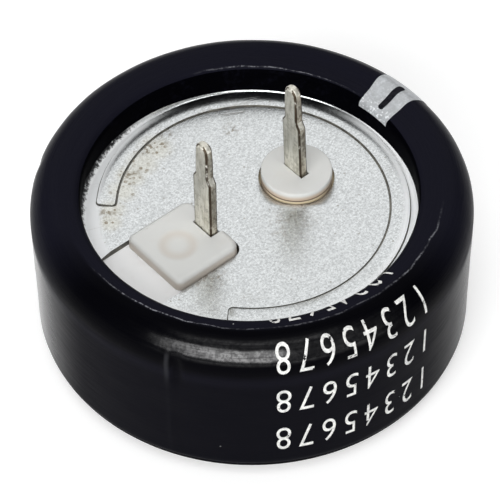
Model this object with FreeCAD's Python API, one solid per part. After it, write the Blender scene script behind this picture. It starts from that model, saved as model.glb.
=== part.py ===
import FreeCAD
import Part
import math
import os

from FreeCAD import Vector

# Coin-type supercapacitor standing on its closed end with both pins up.
# Millimetres. Z is the axis of the can, X runs along the row of pins, z = 0 is the resting face.

# Body
BODY_DIAMETER = 19.0        # over the sleeve
RECESS_DEPTH = 1.52         # crest of the rim down to the face of the terminal plate
FIT = 0.05                  # radial play between nested pieces

# Sleeve
SLEEVE_WALL = 0.2
SLEEVE_TUCK = 0.35          # how far the sleeve hangs below the centre of the rolled edge
SLEEVE_FOOT = 1.6           # width of the flat fold on the resting end

# Case
CASE_WALL = 0.3
FLOOR_EDGE_RADIUS = 0.9     # outside, at the closed end
SHOULDER_RADIUS = 1.3       # outside, at the rim
ROLL_RADIUS = 0.5           # outside radius of the rolled-in edge
ROLL_STRAIGHT = 0.1         # straight end of the rolled edge

# Terminal plates
SHEET = 0.4                 # thickness of both plates and of their pins
DISH_SETBACK = 0.05         # wall of the dish behind the rolled edge
DISH_FILLET = 0.65          # face of the dish to its wall
BEAD_WIDTH = 0.86
BEAD_HEIGHT = 0.12
BEAD_MARGIN = 0.2           # bead to the start of the dish fillet
BEAD_CORNER = 0.22
BEAD_EDGE = 0.05
BEAD_GAP = 80.0             # degrees left open around the slot
SLOT_WIDTH = 3.58
SLOT_CORNER = 0.7
LANCE_GAP = 0.2             # cut beside the pin of the inner plate

# Pins
PIN_PITCH = 5.08
PIN_WIDTH = 1.1
PIN_BEND = 0.44             # inside radius of the bend at the root
TIP_WIDTH = 0.74
TIP_LENGTH = 2.1            # narrow end, with its shoulders
TIP_SLOPE = 0.32            # height of the slanted shoulders
TIP_CORNER = 0.28
TIP_EDGE = 0.14
OUTER_PIN_RISE = 5.52       # above the face of the outer plate
INNER_PIN_RISE = 5.35       # above the face of the outer plate

# Insulating collar
COLLAR_FLOOR = 0.7
COLLAR_RIM = 0.9            # rim above the floor
SKIRT_WALL = 0.5            # skirt around the inner plate
STRIP_SINK = 0.2            # strip below the face of the outer plate
BLOCK_LENGTH = 3.45
BLOCK_RISE = 0.3
BLOCK_DRAFT = 0.04          # slope of the block's sides over their height
BLOCK_EDGE = 0.22
BLOCK_CORNER = 0.5          # beside the pin
BLOCK_RIM_CORNER = 0.3      # towards the rim
BLOCK_END_GAP = 0.12        # block to the end of the slot
MARK_DIAMETER = 1.86
MARK_DEPTH = 0.06
BUSH_DIAMETER = 3.1
BUSH_PLAY = 0.1             # radial, in the hole of the outer plate
BUSH_RISE = 0.36
BUSH_CROWN = 0.06           # height of the domed top
BUSH_EDGE = 0.14

# Liner and cells
LINER_WALL = 0.2
CELL_HEIGHT = 2.3
CELL_EDGE = 0.6             # radius at the foot of the cell's can
CELL_CRIMP = 0.7            # radius of the cell's crimped shoulder
CELL_LAND = 0.5             # flat of the crimp
CELL_GASKET = 0.3           # width of the sunken gasket line
CELL_GASKET_DEPTH = 0.15
CELL_CAP_STEP = 0.25        # cap above the crimp
CELL_CAP_EDGE = 0.3

# Radii that follow from the sizes above
body_r = BODY_DIAMETER / 2
case_r = body_r - SLEEVE_WALL
bore_r = case_r - CASE_WALL
shoulder_r = case_r - SHOULDER_RADIUS
roll_r = shoulder_r - ROLL_RADIUS
dish_r = roll_r + DISH_SETBACK
flat_r = dish_r - DISH_FILLET
collar_r = bore_r - FIT
rim_r = dish_r + SHEET + FIT
skirt_r = collar_r - SKIRT_WALL
inner_plate_r = skirt_r - FIT
liner_r = collar_r - LINER_WALL
cell_r = liner_r - FIT

# Heights, stacked up from the resting face
floor_z = SLEEVE_WALL + CASE_WALL
upper_cell_z = floor_z + CELL_HEIGHT
inner_plate_z = upper_cell_z + CELL_HEIGHT
collar_z = inner_plate_z + SHEET
outer_plate_z = collar_z + COLLAR_FLOOR
face_z = outer_plate_z + SHEET
crest_z = face_z + RECESS_DEPTH
case_top_z = crest_z - SLEEVE_WALL
shoulder_z = case_top_z - SHOULDER_RADIUS
roll_z = case_top_z - ROLL_RADIUS
roll_end_z = roll_z - ROLL_STRAIGHT
sleeve_end_z = roll_z - SLEEVE_TUCK
liner_z = floor_z + FLOOR_EDGE_RADIUS - CASE_WALL

# Along the row of pins
outer_pin_x = -PIN_PITCH / 2
inner_pin_x = PIN_PITCH / 2
root_offset = SHEET / 2 + PIN_BEND
slot_end_x = outer_pin_x + root_offset
block_end_x = slot_end_x - BLOCK_END_GAP
block_start_x = block_end_x - BLOCK_LENGTH
block_middle_x = (block_start_x + block_end_x) / 2
past_body = BODY_DIAMETER


class Outline:
    """A closed outline of lines and arcs in the XZ plane."""

    def __init__(self, x, z):
        self.first = Vector(x, 0, z)
        self.at = self.first
        self.edges = []

    def line(self, x, z):
        to = Vector(x, 0, z)
        if (to - self.at).Length > 1e-6:
            self.edges.append(Part.makeLine(self.at, to))
            self.at = to
        return self

    def arc(self, centre_x, centre_z, x, z):
        """A turn of less than half a circle about a centre."""
        centre = Vector(centre_x, 0, centre_z)
        to = Vector(x, 0, z)
        half = (self.at - centre) + (to - centre)
        middle = centre + half.normalize() * (to - centre).Length
        self.edges.append(Part.Arc(self.at, middle, to).toShape())
        self.at = to
        return self

    def face(self):
        self.line(self.first.x, self.first.z)
        return Part.Face(Part.Wire(self.edges))

    def spin(self):
        return self.face().revolve(Vector(0, 0, 0), Vector(0, 0, 1), 360)

    def across(self, width):
        """The outline drawn out to both sides along Y."""
        face = self.face()
        face.translate(Vector(0, -width / 2, 0))
        return face.extrude(Vector(0, width, 0))


def ring(inner_r, outer_r, low_z, high_z):
    outer = Part.makeCylinder(outer_r, high_z - low_z, Vector(0, 0, low_z))
    inner = Part.makeCylinder(inner_r, high_z - low_z, Vector(0, 0, low_z))
    return outer.cut(inner)


def slab(x0, x1, width, z0, z1):
    return Part.makeBox(x1 - x0, width, z1 - z0, Vector(x0, -width / 2, z0))


def edges_where(shape, test):
    return [edge for edge in shape.Edges if test(edge)]


def upright(edge):
    box = edge.BoundBox
    return box.ZLength > 1e-4 and box.XLength < 1e-4 and box.YLength < 1e-4


def level_at(z):
    def test(edge):
        box = edge.BoundBox
        return abs(box.ZMin - z) < 1e-4 and abs(box.ZMax - z) < 1e-4
    return test


def sleeve():
    """Film of even thickness that follows the can and turns in at both ends."""
    foot_r = case_r - FLOOR_EDGE_RADIUS
    o = Outline(foot_r - SLEEVE_FOOT, 0)
    o.line(foot_r, 0)
    o.arc(foot_r, SLEEVE_WALL + FLOOR_EDGE_RADIUS, body_r, SLEEVE_WALL + FLOOR_EDGE_RADIUS)
    o.line(body_r, shoulder_z)
    o.arc(shoulder_r, shoulder_z, shoulder_r, crest_z)
    o.arc(shoulder_r, roll_z, roll_r - SLEEVE_WALL, roll_z)
    o.line(roll_r - SLEEVE_WALL, sleeve_end_z)
    o.line(roll_r, sleeve_end_z)
    o.line(roll_r, roll_z)
    o.arc(shoulder_r, roll_z, shoulder_r, case_top_z)
    o.arc(shoulder_r, shoulder_z, case_r, shoulder_z)
    o.line(case_r, SLEEVE_WALL + FLOOR_EDGE_RADIUS)
    o.arc(foot_r, SLEEVE_WALL + FLOOR_EDGE_RADIUS, foot_r, SLEEVE_WALL)
    o.line(foot_r - SLEEVE_FOOT, SLEEVE_WALL)
    return o.spin()


def case():
    """Drawn can with its open edge rolled in and down onto the dish."""
    foot_r = case_r - FLOOR_EDGE_RADIUS
    edge_z = SLEEVE_WALL + FLOOR_EDGE_RADIUS
    o = Outline(0, SLEEVE_WALL)
    o.line(foot_r, SLEEVE_WALL)
    o.arc(foot_r, edge_z, case_r, edge_z)
    o.line(case_r, shoulder_z)
    o.arc(shoulder_r, shoulder_z, shoulder_r, case_top_z)
    o.arc(shoulder_r, roll_z, roll_r, roll_z)
    o.line(roll_r, roll_end_z)
    o.line(roll_r + CASE_WALL, roll_end_z)
    o.line(roll_r + CASE_WALL, roll_z)
    o.arc(shoulder_r, roll_z, shoulder_r, case_top_z - CASE_WALL)
    o.arc(shoulder_r, shoulder_z, bore_r, shoulder_z)
    o.line(bore_r, edge_z)
    o.arc(foot_r, edge_z, foot_r, floor_z)
    o.line(0, floor_z)
    return o.spin()


def room_in_case():
    """Space inside the can, with play, below the rolled edge."""
    top_z = case_top_z - CASE_WALL - FIT
    o = Outline(0, inner_plate_z)
    o.line(collar_r, inner_plate_z)
    o.line(collar_r, shoulder_z)
    o.arc(shoulder_r, shoulder_z, shoulder_r, top_z)
    o.line(0, top_z)
    return o.spin()


def bent_pin(pin_x, plate_z, rise, root_side):
    """Pin cut from a plate and bent up; root_side is the X direction of the plate it hangs on."""
    root_face_x = pin_x + root_side * SHEET / 2
    far_face_x = pin_x - root_side * SHEET / 2
    bend_x = root_face_x + root_side * PIN_BEND
    bend_z = plate_z + SHEET + PIN_BEND
    tip_z = face_z + rise
    strip = Outline(far_face_x, bend_z)
    strip.line(far_face_x, tip_z)
    strip.line(root_face_x, tip_z)
    strip.line(root_face_x, bend_z)
    strip.arc(bend_x, bend_z, bend_x, plate_z + SHEET)
    strip.line(bend_x, plate_z)
    strip.arc(bend_x, bend_z, far_face_x, bend_z)

    half = PIN_WIDTH / 2
    tip = TIP_WIDTH / 2
    step_z = tip_z - TIP_LENGTH
    front = Outline(-half, plate_z)
    front.line(half, plate_z)
    front.line(half, step_z)
    front.line(tip, step_z + TIP_SLOPE)
    front.line(tip, tip_z - TIP_CORNER)
    front.arc(tip - TIP_CORNER, tip_z - TIP_CORNER, tip - TIP_CORNER, tip_z)
    front.line(TIP_CORNER - tip, tip_z)
    front.arc(TIP_CORNER - tip, tip_z - TIP_CORNER, -tip, tip_z - TIP_CORNER)
    front.line(-tip, step_z + TIP_SLOPE)
    front.line(-half, step_z)
    outline = front.across(BODY_DIAMETER)
    outline.rotate(Vector(0, 0, 0), Vector(0, 0, 1), 90)
    pin = strip.across(PIN_WIDTH).common(outline)

    def at_tip(edge):
        box = edge.BoundBox
        return box.ZMin > tip_z - TIP_CORNER - 1e-4 and box.XLength < 1e-4
    return pin.makeFillet(TIP_EDGE, edges_where(pin, at_tip))


def bead(low_z, high_z, inset):
    """C-shaped band with rounded corners, open around the slot."""
    outer = flat_r - BEAD_MARGIN - inset
    inner = flat_r - BEAD_MARGIN - BEAD_WIDTH + inset
    height = high_z - low_z
    sweep = 360 - BEAD_GAP
    base = Vector(0, 0, low_z)
    axis = Vector(0, 0, 1)
    band = Part.makeCylinder(outer, height, base, axis, sweep)
    band = band.cut(Part.makeCylinder(inner, height, base, axis))
    band = band.makeFillet(BEAD_CORNER, edges_where(band, upright))
    band.rotate(Vector(0, 0, 0), axis, -sweep / 2)
    return band


def slot_cutter():
    cutter = slab(-past_body, slot_end_x, SLOT_WIDTH, outer_plate_z - 1, crest_z)

    def inner_corner(edge):
        return upright(edge) and abs(edge.BoundBox.XMax - slot_end_x) < 1e-4
    return cutter.makeFillet(SLOT_CORNER, edges_where(cutter, inner_corner))


def outer_terminal_plate():
    """Dish with a raised C bead, a slot that its pin was cut from, and a hole for the bush."""
    fillet = min(DISH_FILLET, roll_end_z - face_z - FIT)
    o = Outline(0, outer_plate_z)
    o.line(dish_r - fillet, outer_plate_z)
    o.arc(dish_r - fillet, face_z + fillet, dish_r + SHEET, face_z + fillet)
    o.line(dish_r + SHEET, roll_end_z)
    o.line(dish_r, roll_end_z)
    o.line(dish_r, face_z + fillet)
    o.arc(dish_r - fillet, face_z + fillet, dish_r - fillet, face_z)
    o.line(0, face_z)
    plate = o.spin()
    raised = bead(outer_plate_z + SHEET / 2, face_z + BEAD_HEIGHT, 0)
    raised = raised.makeFillet(BEAD_EDGE, edges_where(raised, level_at(face_z + BEAD_HEIGHT)))
    plate = plate.fuse(raised)
    plate = plate.cut(bead(outer_plate_z, outer_plate_z + BEAD_HEIGHT, SHEET / 4))
    plate = plate.cut(slot_cutter())
    hole_r = BUSH_DIAMETER / 2 + BUSH_PLAY
    hole = Part.makeCylinder(hole_r, SHEET, Vector(inner_pin_x, 0, outer_plate_z))
    plate = plate.cut(hole)
    pin = bent_pin(outer_pin_x, outer_plate_z, OUTER_PIN_RISE, 1)
    return plate.fuse(pin).removeSplitter()


def inner_terminal_plate():
    """Flat disc against the upper cell, with its own pin cut out and bent up."""
    plate = Part.makeCylinder(inner_plate_r, SHEET, Vector(0, 0, inner_plate_z))
    lance = slab(inner_pin_x - root_offset, past_body, PIN_WIDTH + 2 * LANCE_GAP, 0, crest_z)
    plate = plate.cut(lance)
    pin = bent_pin(inner_pin_x, inner_plate_z, INNER_PIN_RISE, -1)
    return plate.fuse(pin).removeSplitter()


def block():
    """Drafted block that fills the slot behind the outer plate's pin."""
    width = SLOT_WIDTH - 2 * FIT
    top_z = face_z + BLOCK_RISE

    def outline(z, inset):
        box = slab(block_start_x + inset, block_end_x - inset, width - 2 * inset, z, z + 1)
        by_pin = edges_where(box, lambda edge: upright(edge) and edge.BoundBox.XMax > outer_pin_x)
        box = box.makeFillet(BLOCK_CORNER - inset, by_pin)
        by_rim = edges_where(box, lambda edge: upright(edge) and edge.BoundBox.XMax < block_middle_x)
        box = box.makeFillet(BLOCK_RIM_CORNER - inset, by_rim)
        return [f for f in box.Faces if abs(f.CenterOfMass.z - z) < 1e-6][0].OuterWire
    body = Part.makeLoft([outline(outer_plate_z, 0), outline(top_z, BLOCK_DRAFT)], True, True)
    body = body.makeFillet(BLOCK_EDGE, edges_where(body, level_at(top_z)))
    half = MARK_DIAMETER / 2
    radius = (half ** 2 + MARK_DEPTH ** 2) / (2 * MARK_DEPTH)
    mark_x = (block_start_x + outer_pin_x - SHEET / 2) / 2
    dip = Part.makeSphere(radius, Vector(mark_x, 0, top_z - MARK_DEPTH + radius))
    return body.cut(dip)


def bush():
    """Round boss with a slightly domed top around the inner plate's pin."""
    r = BUSH_DIAMETER / 2
    top_z = face_z + BUSH_RISE
    o = Outline(0, outer_plate_z)
    o.line(r, outer_plate_z)
    o.line(r, top_z - BUSH_CROWN - BUSH_EDGE)
    o.arc(r - BUSH_EDGE, top_z - BUSH_CROWN - BUSH_EDGE, r - BUSH_EDGE, top_z - BUSH_CROWN)
    flat = r - BUSH_EDGE
    radius = (flat ** 2 + BUSH_CROWN ** 2) / (2 * BUSH_CROWN)
    o.arc(0, top_z - radius, 0, top_z)
    boss = o.spin()
    boss.translate(Vector(inner_pin_x, 0, 0))
    return boss


def insulating_collar():
    """Moulding between the plates: floor, rim, skirt, and the strip, block and bush on its face."""
    body = Part.makeCylinder(collar_r, COLLAR_FLOOR, Vector(0, 0, collar_z))
    body = body.fuse(ring(rim_r, collar_r, collar_z, outer_plate_z + COLLAR_RIM))
    body = body.fuse(ring(skirt_r, collar_r, inner_plate_z, collar_z + COLLAR_FLOOR / 2))
    width = SLOT_WIDTH - 2 * FIT
    strip_z = face_z - STRIP_SINK
    strip = slab(-(rim_r + FIT), block_start_x + BLOCK_CORNER, width, outer_plate_z, strip_z)
    pin_gap = PIN_WIDTH + 2 * FIT
    notch_x = outer_pin_x - SHEET / 2 - FIT
    notch = slab(notch_x, slot_end_x, pin_gap, outer_plate_z, crest_z)
    body = body.fuse([strip, block().cut(notch), bush()])
    body = body.common(room_in_case())
    far_x = inner_pin_x + SHEET / 2 + FIT
    way = slab(inner_pin_x - SHEET / 2 - FIT, far_x, pin_gap, collar_z, crest_z)
    relief = slab(inner_pin_x - root_offset - FIT, far_x, pin_gap, collar_z, collar_z + PIN_BEND + FIT)
    return body.cut(way).cut(relief).removeSplitter()


def case_liner():
    return ring(liner_r, collar_r, liner_z, inner_plate_z)


def cell(low_z):
    """Sealed coin cell, cap up, with its crimped edge and gasket line."""
    top_z = low_z + CELL_HEIGHT
    crimp_z = top_z - CELL_CAP_STEP
    land_r = cell_r - CELL_CRIMP - CELL_LAND
    cap_r = land_r - CELL_GASKET
    o = Outline(0, low_z)
    o.line(cell_r - CELL_EDGE, low_z)
    o.arc(cell_r - CELL_EDGE, low_z + CELL_EDGE, cell_r, low_z + CELL_EDGE)
    o.line(cell_r, crimp_z - CELL_CRIMP)
    o.arc(cell_r - CELL_CRIMP, crimp_z - CELL_CRIMP, cell_r - CELL_CRIMP, crimp_z)
    o.line(land_r, crimp_z)
    o.line(land_r, crimp_z - CELL_GASKET_DEPTH)
    o.line(cap_r, crimp_z - CELL_GASKET_DEPTH)
    o.line(cap_r, top_z - CELL_CAP_EDGE)
    o.arc(cap_r - CELL_CAP_EDGE, top_z - CELL_CAP_EDGE, cap_r - CELL_CAP_EDGE, top_z)
    o.line(0, top_z)
    return o.spin()


def main():
    pieces = {
        "sleeve": sleeve(),
        "case": case(),
        "outer_terminal_plate": outer_terminal_plate(),
        "insulating_collar": insulating_collar(),
        "inner_terminal_plate": inner_terminal_plate(),
        "case_liner": case_liner(),
        "cell_lower": cell(floor_z),
        "cell_upper": cell(upper_cell_z),
    }
    os.makedirs("parts", exist_ok=True)
    for name, shape in pieces.items():
        shape.exportStep("parts/" + name + ".step")


main()
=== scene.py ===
import math

import bmesh
import bpy
from bpy.props import FloatProperty, FloatVectorProperty, IntProperty, PointerProperty, StringProperty
from mathutils import Matrix, Vector, noise


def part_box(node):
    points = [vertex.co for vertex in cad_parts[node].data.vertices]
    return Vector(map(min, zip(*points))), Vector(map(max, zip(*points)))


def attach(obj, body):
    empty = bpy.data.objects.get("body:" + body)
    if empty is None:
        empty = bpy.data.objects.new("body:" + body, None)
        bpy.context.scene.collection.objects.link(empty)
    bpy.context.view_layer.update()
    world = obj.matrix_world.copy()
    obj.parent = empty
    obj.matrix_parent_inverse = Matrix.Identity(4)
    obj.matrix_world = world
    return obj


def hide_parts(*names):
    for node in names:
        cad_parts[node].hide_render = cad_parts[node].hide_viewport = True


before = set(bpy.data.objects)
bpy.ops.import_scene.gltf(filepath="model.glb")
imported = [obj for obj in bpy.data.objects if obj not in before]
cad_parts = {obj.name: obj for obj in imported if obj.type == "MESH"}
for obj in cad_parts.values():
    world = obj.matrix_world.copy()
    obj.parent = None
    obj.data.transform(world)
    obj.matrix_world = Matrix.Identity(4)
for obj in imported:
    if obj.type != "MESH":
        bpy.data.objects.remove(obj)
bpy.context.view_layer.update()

bl_info = {
    "name": "Coin supercapacitor",
    "version": (1, 0, 0),
    "blender": (4, 5, 0),
    "location": "3D View > Sidebar > Supercapacitor",
    "description": "Sleeved coin-type supercapacitor with board pins, and a plain studio for it",
    "category": "Object",
}

# Pieces are shaped in millimetres and put into the frame, which is in metres, when they are finished.
MM = 0.001
FILM_LOW, FILM_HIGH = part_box("sleeve")
CAN_LOW, CAN_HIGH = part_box("case")
PLATE_LOW, PLATE_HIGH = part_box("outer_terminal_plate")
COLLAR_LOW, COLLAR_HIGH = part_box("insulating_collar")
INNER_LOW, INNER_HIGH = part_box("inner_terminal_plate")

# Directions about the axis as the camera sees them.
FRONT = (-0.643, -0.766)
BACK = (0.643, 0.766)
LEFT = (-0.766, 0.643)
ACROSS_CREASE = (0.5075, -0.8616)
# Middle of the rolled edge and of the dish wall, in millimetres.
DISH_MIDDLE = (-0.295, -0.206)
# Side of the bush where a warm highlight is painted on the edge of its hole and at the foot of the bush.
PAINTED_GLINT_SIDE = (1.54, -1.19)
# Cutting shapes reach this far, which is past every piece.
PAST = 12.0
# Numbers of the finishes on the plates, after the sheet's own.
PIN_FLAT, PIN_CUT, PIN_TORN, BEAD_LINE, HOLE_EDGE = range(1, 6)


def length(name, description, metres):
    return FloatProperty(
        name=name, description=description, default=metres, min=0.0, precision=5, unit="LENGTH"
    )


def turn(name, description, degrees):
    return FloatProperty(name=name, description=description, default=math.radians(degrees), subtype="ANGLE")


def amount(name, description, default):
    return FloatProperty(name=name, description=description, default=default, min=0.0)


def paint(name, description, rgb):
    return FloatVectorProperty(
        name=name, description=description, default=rgb, min=0.0, max=1.0, size=3, subtype="COLOR"
    )


class FilmSettings(bpy.types.PropertyGroup):
    """Shrunk film around the can"""

    radius: length("Radius", "Outside radius of the film", FILM_HIGH.x)
    height: length("Height", "Crest of the rim above the resting face", FILM_HIGH.z)
    wall: length("Wall", "Thickness of the film", FILM_HIGH.z - CAN_HIGH.z)
    shoulder: length("Shoulder radius", "Outside radius of the rim's shoulder", 1.5 * MM)
    crest: length("Crest width", "Flat crest of the rim between its two roundings", 0.41 * MM)
    roll: length("Lip radius", "Outside radius of the film where it turns into the recess", 0.4 * MM)
    lip: length("Lip length", "Straight end of the film inside the recess", 0.65 * MM)
    off_centre: length("Off centre", "How far the rolled edge sits to one side of the can's axis", 0.36 * MM)
    off_turn: turn("Off-centre direction", "Side that the rolled edge sits towards, about the axis", -145.0)
    hang: length("Hang", "How much lower the film's cut edge hangs on the far side", 0.36 * MM)
    hang_turn: turn("Hang direction", "Where the cut edge hangs lowest, about the axis", 42.0)
    press: length("Press", "How far the rim is pressed flat beside the polarity patch", 0.26 * MM)
    press_turn: turn("Press position", "Where the rim is pressed flat, about the axis", 15.0)
    press_width: turn("Press width", "Spread of the pressed stretch, about the axis", 32.0)
    heel: length("Heel radius", "Outside radius at the resting end", 1.1 * MM)
    foot: length("Foot width", "Flat fold of the film on the resting end", 1.6 * MM)
    crease_turn: turn("Crease position", "Where the film is creased, about the axis", -149.5)
    crease_depth: length("Crease depth", "Depth of the crease below the shoulder", 0.12 * MM)
    pinch_turn: turn("Pinch position", "Where the film is pinched in, about the axis", 127.5)
    wave: length("Edge wave", "How far the cut edge of the film wanders", 0.05 * MM)
    # Worn line on the rim, painted light so that it also stands in for a thin highlight.
    worn_run: length("Worn line", "Rubbed line on the rim, along the film from its cut edge", 1.84 * MM)
    colour: paint("Film", "Dyed film", (0.0070, 0.0070, 0.0122))
    # Painted shade of the film: in the recess, down the side wall, on the front of the shoulder and in the
    # crease.
    painted_shade_colour: paint(
        "Shaded film", "Film inside the recess and on the polished shoulder", (0.0008, 0.0008, 0.0015)
    )
    # Light colour of the worn lines, which also stand in for thin highlights, and of the faint painted
    # highlight beside the crease.
    scuff_and_highlight_colour: paint("Scuffs", "Rubbed film on the rim", (0.21, 0.215, 0.235))
    dust_colour: paint("Dust", "Specks that cling to the film", (0.42, 0.42, 0.42))


class MetalSettings(bpy.types.PropertyGroup):
    """End plate, hidden plate, pins and can"""

    can_wall: length("Can wall", "Thickness of the can", 0.3 * MM)
    can_roll: length("Can roll", "Outside radius of the can's rolled edge", 0.5 * MM)
    sheet: length("Sheet", "Thickness of both plates and of their pins", 0.4 * MM)
    dish_radius: length("Dish radius", "Inside radius of the dish wall", PLATE_HIGH.x - 0.4 * MM)
    dish_flat: length("Dish face", "Radius of the flat face of the dish", 7.11 * MM)
    dish_fillet: length("Dish fillet", "Face of the dish to its sloped wall", 0.12 * MM)
    dish_slope: amount("Dish slope", "Rise of the sloped wall over its width", 1.48)
    dish_top: length("Dish top", "Top of the dish wall above the resting face", 7.32 * MM)
    bead_radius: length("Bead radius", "Outside radius of the raised bead", 6.72 * MM)
    bead_width: length("Bead width", "Width of the raised bead", 0.80 * MM)
    bead_height: length("Bead height", "Height of the raised bead", 0.1 * MM)
    bead_edge: length("Bead edge", "Rounding of the raised bead's edge", 0.025 * MM)
    bead_tilt: length("Bead tilt", "How much lower the bead is at its inner edge", 0.05 * MM)
    groove_depth: length("Groove depth", "Depth of the pressed line around the bead", 0.05 * MM)
    bead_side: length("Bead side", "How far the bead sits towards the bush", 0.09 * MM)
    bead_gap: turn("Bead gap", "Part of the circle that the bead leaves open", 80.0)
    slot_width: length("Slot width", "Width of the slot that the outer pin was cut from", 3.68 * MM)
    slot_side: length("Slot side", "How far the slot sits to one side of the pins", 0.05 * MM)
    slot_corner: length("Slot corner", "Radius of the slot's inner corners", 0.6 * MM)
    hole_edge: length("Hole edge", "Rounding of the edge of the bush's hole", 0.06 * MM)
    pin_pitch: length("Pin pitch", "Distance between the pins", 5.08 * MM)
    pin_width: length("Pin width", "Width of a pin at its root", 1.1 * MM)
    pin_bend: length("Pin bend", "Inside radius of the bend at a pin's root", 0.44 * MM)
    tip_width: length("Tip width", "Width of a pin's narrow end", 0.74 * MM)
    tip_length: length("Tip length", "Length of a pin's narrow end with its shoulders", 2.1 * MM)
    tip_slope: length("Shoulder slope", "Height of the slanted shoulders", 0.32 * MM)
    tip_corner: length("Tip corner", "Rounding of a pin's end", 0.35 * MM)
    tip_edge: length("Tip edge", "Rounding of the edges around a pin's end", 0.15 * MM)
    torn_edge: length("Torn edge", "Width of the torn corners along a pin", 0.075 * MM)
    colour: paint("Tinned sheet", "Matt tinned face", (0.70, 0.725, 0.73))
    # Painted shade in the pressed line at the foot of the bead.
    bead_line_shade_colour: paint("Pressed line", "Foot of the raised bead", (0.15, 0.145, 0.13))
    burr_colour: paint("Burr", "Torn corners of the pins", (0.06, 0.042, 0.025))
    # Used for real stains, and also for a painted reflection of the pin and painted shade on the hole's edge.
    stain_and_shade_colour: paint("Stain", "Tarnish on the tinned face", (0.20, 0.15, 0.09))
    pin_colour: paint("Pin face", "Tinned flats of the pins", (0.94, 0.92, 0.84))
    shear_colour: paint("Sheared edge", "Cut edges of the pins", (0.56, 0.51, 0.42))
    # Painted warm highlight on the near side of the hole's edge.
    hole_glint_colour: paint("Hole edge", "Rounded edge of the hole around the bush", (0.78, 0.63, 0.36))
    can_colour: paint("Can", "Plated can and cells", (0.62, 0.63, 0.64))


class CollarSettings(bpy.types.PropertyGroup):
    """White moulding between the plates"""

    radius: length("Radius", "Outside radius of the collar", COLLAR_HIGH.x)
    floor: length("Floor", "Thickness of the floor between the plates", 0.7 * MM)
    strip_sink: length("Strip sink", "Strip below the face of the end plate", 0.14 * MM)
    block_length: length("Block length", "Length of the block in the slot", 3.45 * MM)
    block_rise: length("Block rise", "Block above the face of the end plate", 0.46 * MM)
    block_draft: length("Block draft", "Slope of the block's sides over their height", 0.04 * MM)
    block_corner: length("Block corner", "Upright corners of the block beside the pin", 0.5 * MM)
    block_rim_corner: length("Block rim corner", "Upright corners of the block towards the rim", 0.3 * MM)
    block_edge: length("Block edge", "Rounding of the block's top edge", 0.22 * MM)
    block_gap: length("Block gap", "Block to the end of the slot", 0.12 * MM)
    mark_radius: length("Mark radius", "Radius of the shallow moulding mark", 0.93 * MM)
    mark_depth: length("Mark depth", "Depth of the shallow moulding mark", 0.06 * MM)
    bush_radius: length("Bush radius", "Radius of the round bush", 1.55 * MM)
    bush_play: length("Bush play", "Bush to the edge of its hole", 0.1 * MM)
    bush_rise: length("Bush rise", "Bush above the face of the end plate", 0.52 * MM)
    colour: paint("White plastic", "Moulded plastic", (0.60, 0.605, 0.59))
    # Painted light: the sunken strip is paler than the rest of the plastic.
    strip_painted_light_colour: paint("Strip", "Plastic of the sunken strip", (0.92, 0.925, 0.925))
    # Tan for light ageing and for painted shade around the mark, on side walls and on the bush.
    aged_and_shade_colour: paint("Aged plastic", "Plastic in recesses and on side walls", (0.44, 0.33, 0.23))
    # Painted warm light in the gap around the bush and at the bush's foot.
    warm_glint_colour: paint("Gap", "Plastic at the bottom of the gap around the bush", (0.78, 0.67, 0.47))
    liner_colour: paint("Liner", "Film around the cells", (0.70, 0.71, 0.66))


class PrintSettings(bpy.types.PropertyGroup):
    """Ink on the film"""

    digits: StringProperty(name="Digits", description="Plain counting digits of each row", default="12345678")
    rows: IntProperty(name="Rows", description="Rows of digits down the film", default=4, min=1)
    row_pitch: length("Row pitch", "Distance between rows along the film", 2.49 * MM)
    row_start: length("First row", "Middle of the first row along the film from its cut edge", 0.72 * MM)
    row_length: length("Row length", "Length of a row", 7.22 * MM)
    digit_height: length("Digit height", "Height of a digit", 1.45 * MM)
    spacing: amount("Spacing", "Letter spacing of a row", 1.35)
    row_turn: turn("Row position", "End of the rows, about the axis", -81.0)
    patch_width: turn("Patch width", "Width of the polarity patch about the axis", 13.8)
    patch_turn: turn("Patch position", "Middle of the polarity patch, about the axis", 0.85)
    patch_start: length("Patch start", "Inner end of the patch, along the film from its cut edge", 0.53 * MM)
    patch_end: amount("Patch end", "Part of the shoulder that the patch covers", 0.86)
    bar_start: length("Bar start", "Inner end of the dark bar, along the film from its cut edge", 0.97 * MM)
    bar_length: length("Bar length", "Length of the dark bar", 1.52 * MM)
    bar_width: length("Bar width", "Width of the dark bar", 0.31 * MM)
    bar_side: turn("Bar side", "How far the bar sits to one side of the patch's middle", 1.0)
    ink: length("Ink", "Thickness of the ink", 0.012 * MM)
    colour: paint("White ink", "Ink of the digits", (0.80, 0.80, 0.77))
    patch_colour: paint("Silver ink", "Ink of the polarity patch", (0.50, 0.52, 0.54))
    bar_colour: paint("Dark ink", "Bar on the polarity patch", (0.006, 0.006, 0.009))


class StageSettings(bpy.types.PropertyGroup):
    """Floor, light and camera"""

    azimuth: turn("Azimuth", "Camera around the part", -40.12)
    elevation: turn("Elevation", "Camera above the horizon", 48.355)
    roll: turn("Roll", "Camera about its own axis", -0.6)
    distance: length("Distance", "Camera to the middle of the body", 112.87 * MM)
    aim: length("Aim height", "Height of the point that the camera turns about", 4.15 * MM)
    slide_right: FloatProperty(
        name="Aim right", description="Framing to the right", default=-0.0000985, unit="LENGTH"
    )
    slide_up: FloatProperty(name="Aim up", description="Framing upwards", default=-0.00031, unit="LENGTH")
    lens: amount("Lens", "Focal length in millimetres on a 36 mm sensor", 186.45)
    world: amount("Room light", "Strength of the even light from all around", 0.32)
    floor_colour: paint("Floor", "Pale floor", (0.80, 0.80, 0.80))
    floor_lift: amount("Floor lift", "Brightening of the floor towards white", 0.36)
    back_light: amount("Back light", "Power of the wide lamp behind", 1.9)
    top_light: amount("Top light", "Power of the lamp overhead", 0.62)
    front_light: amount("Front light", "Power of the lamp in front", 2.0)


def mm(value):
    """A property's length in millimetres."""
    return value / MM


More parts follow.
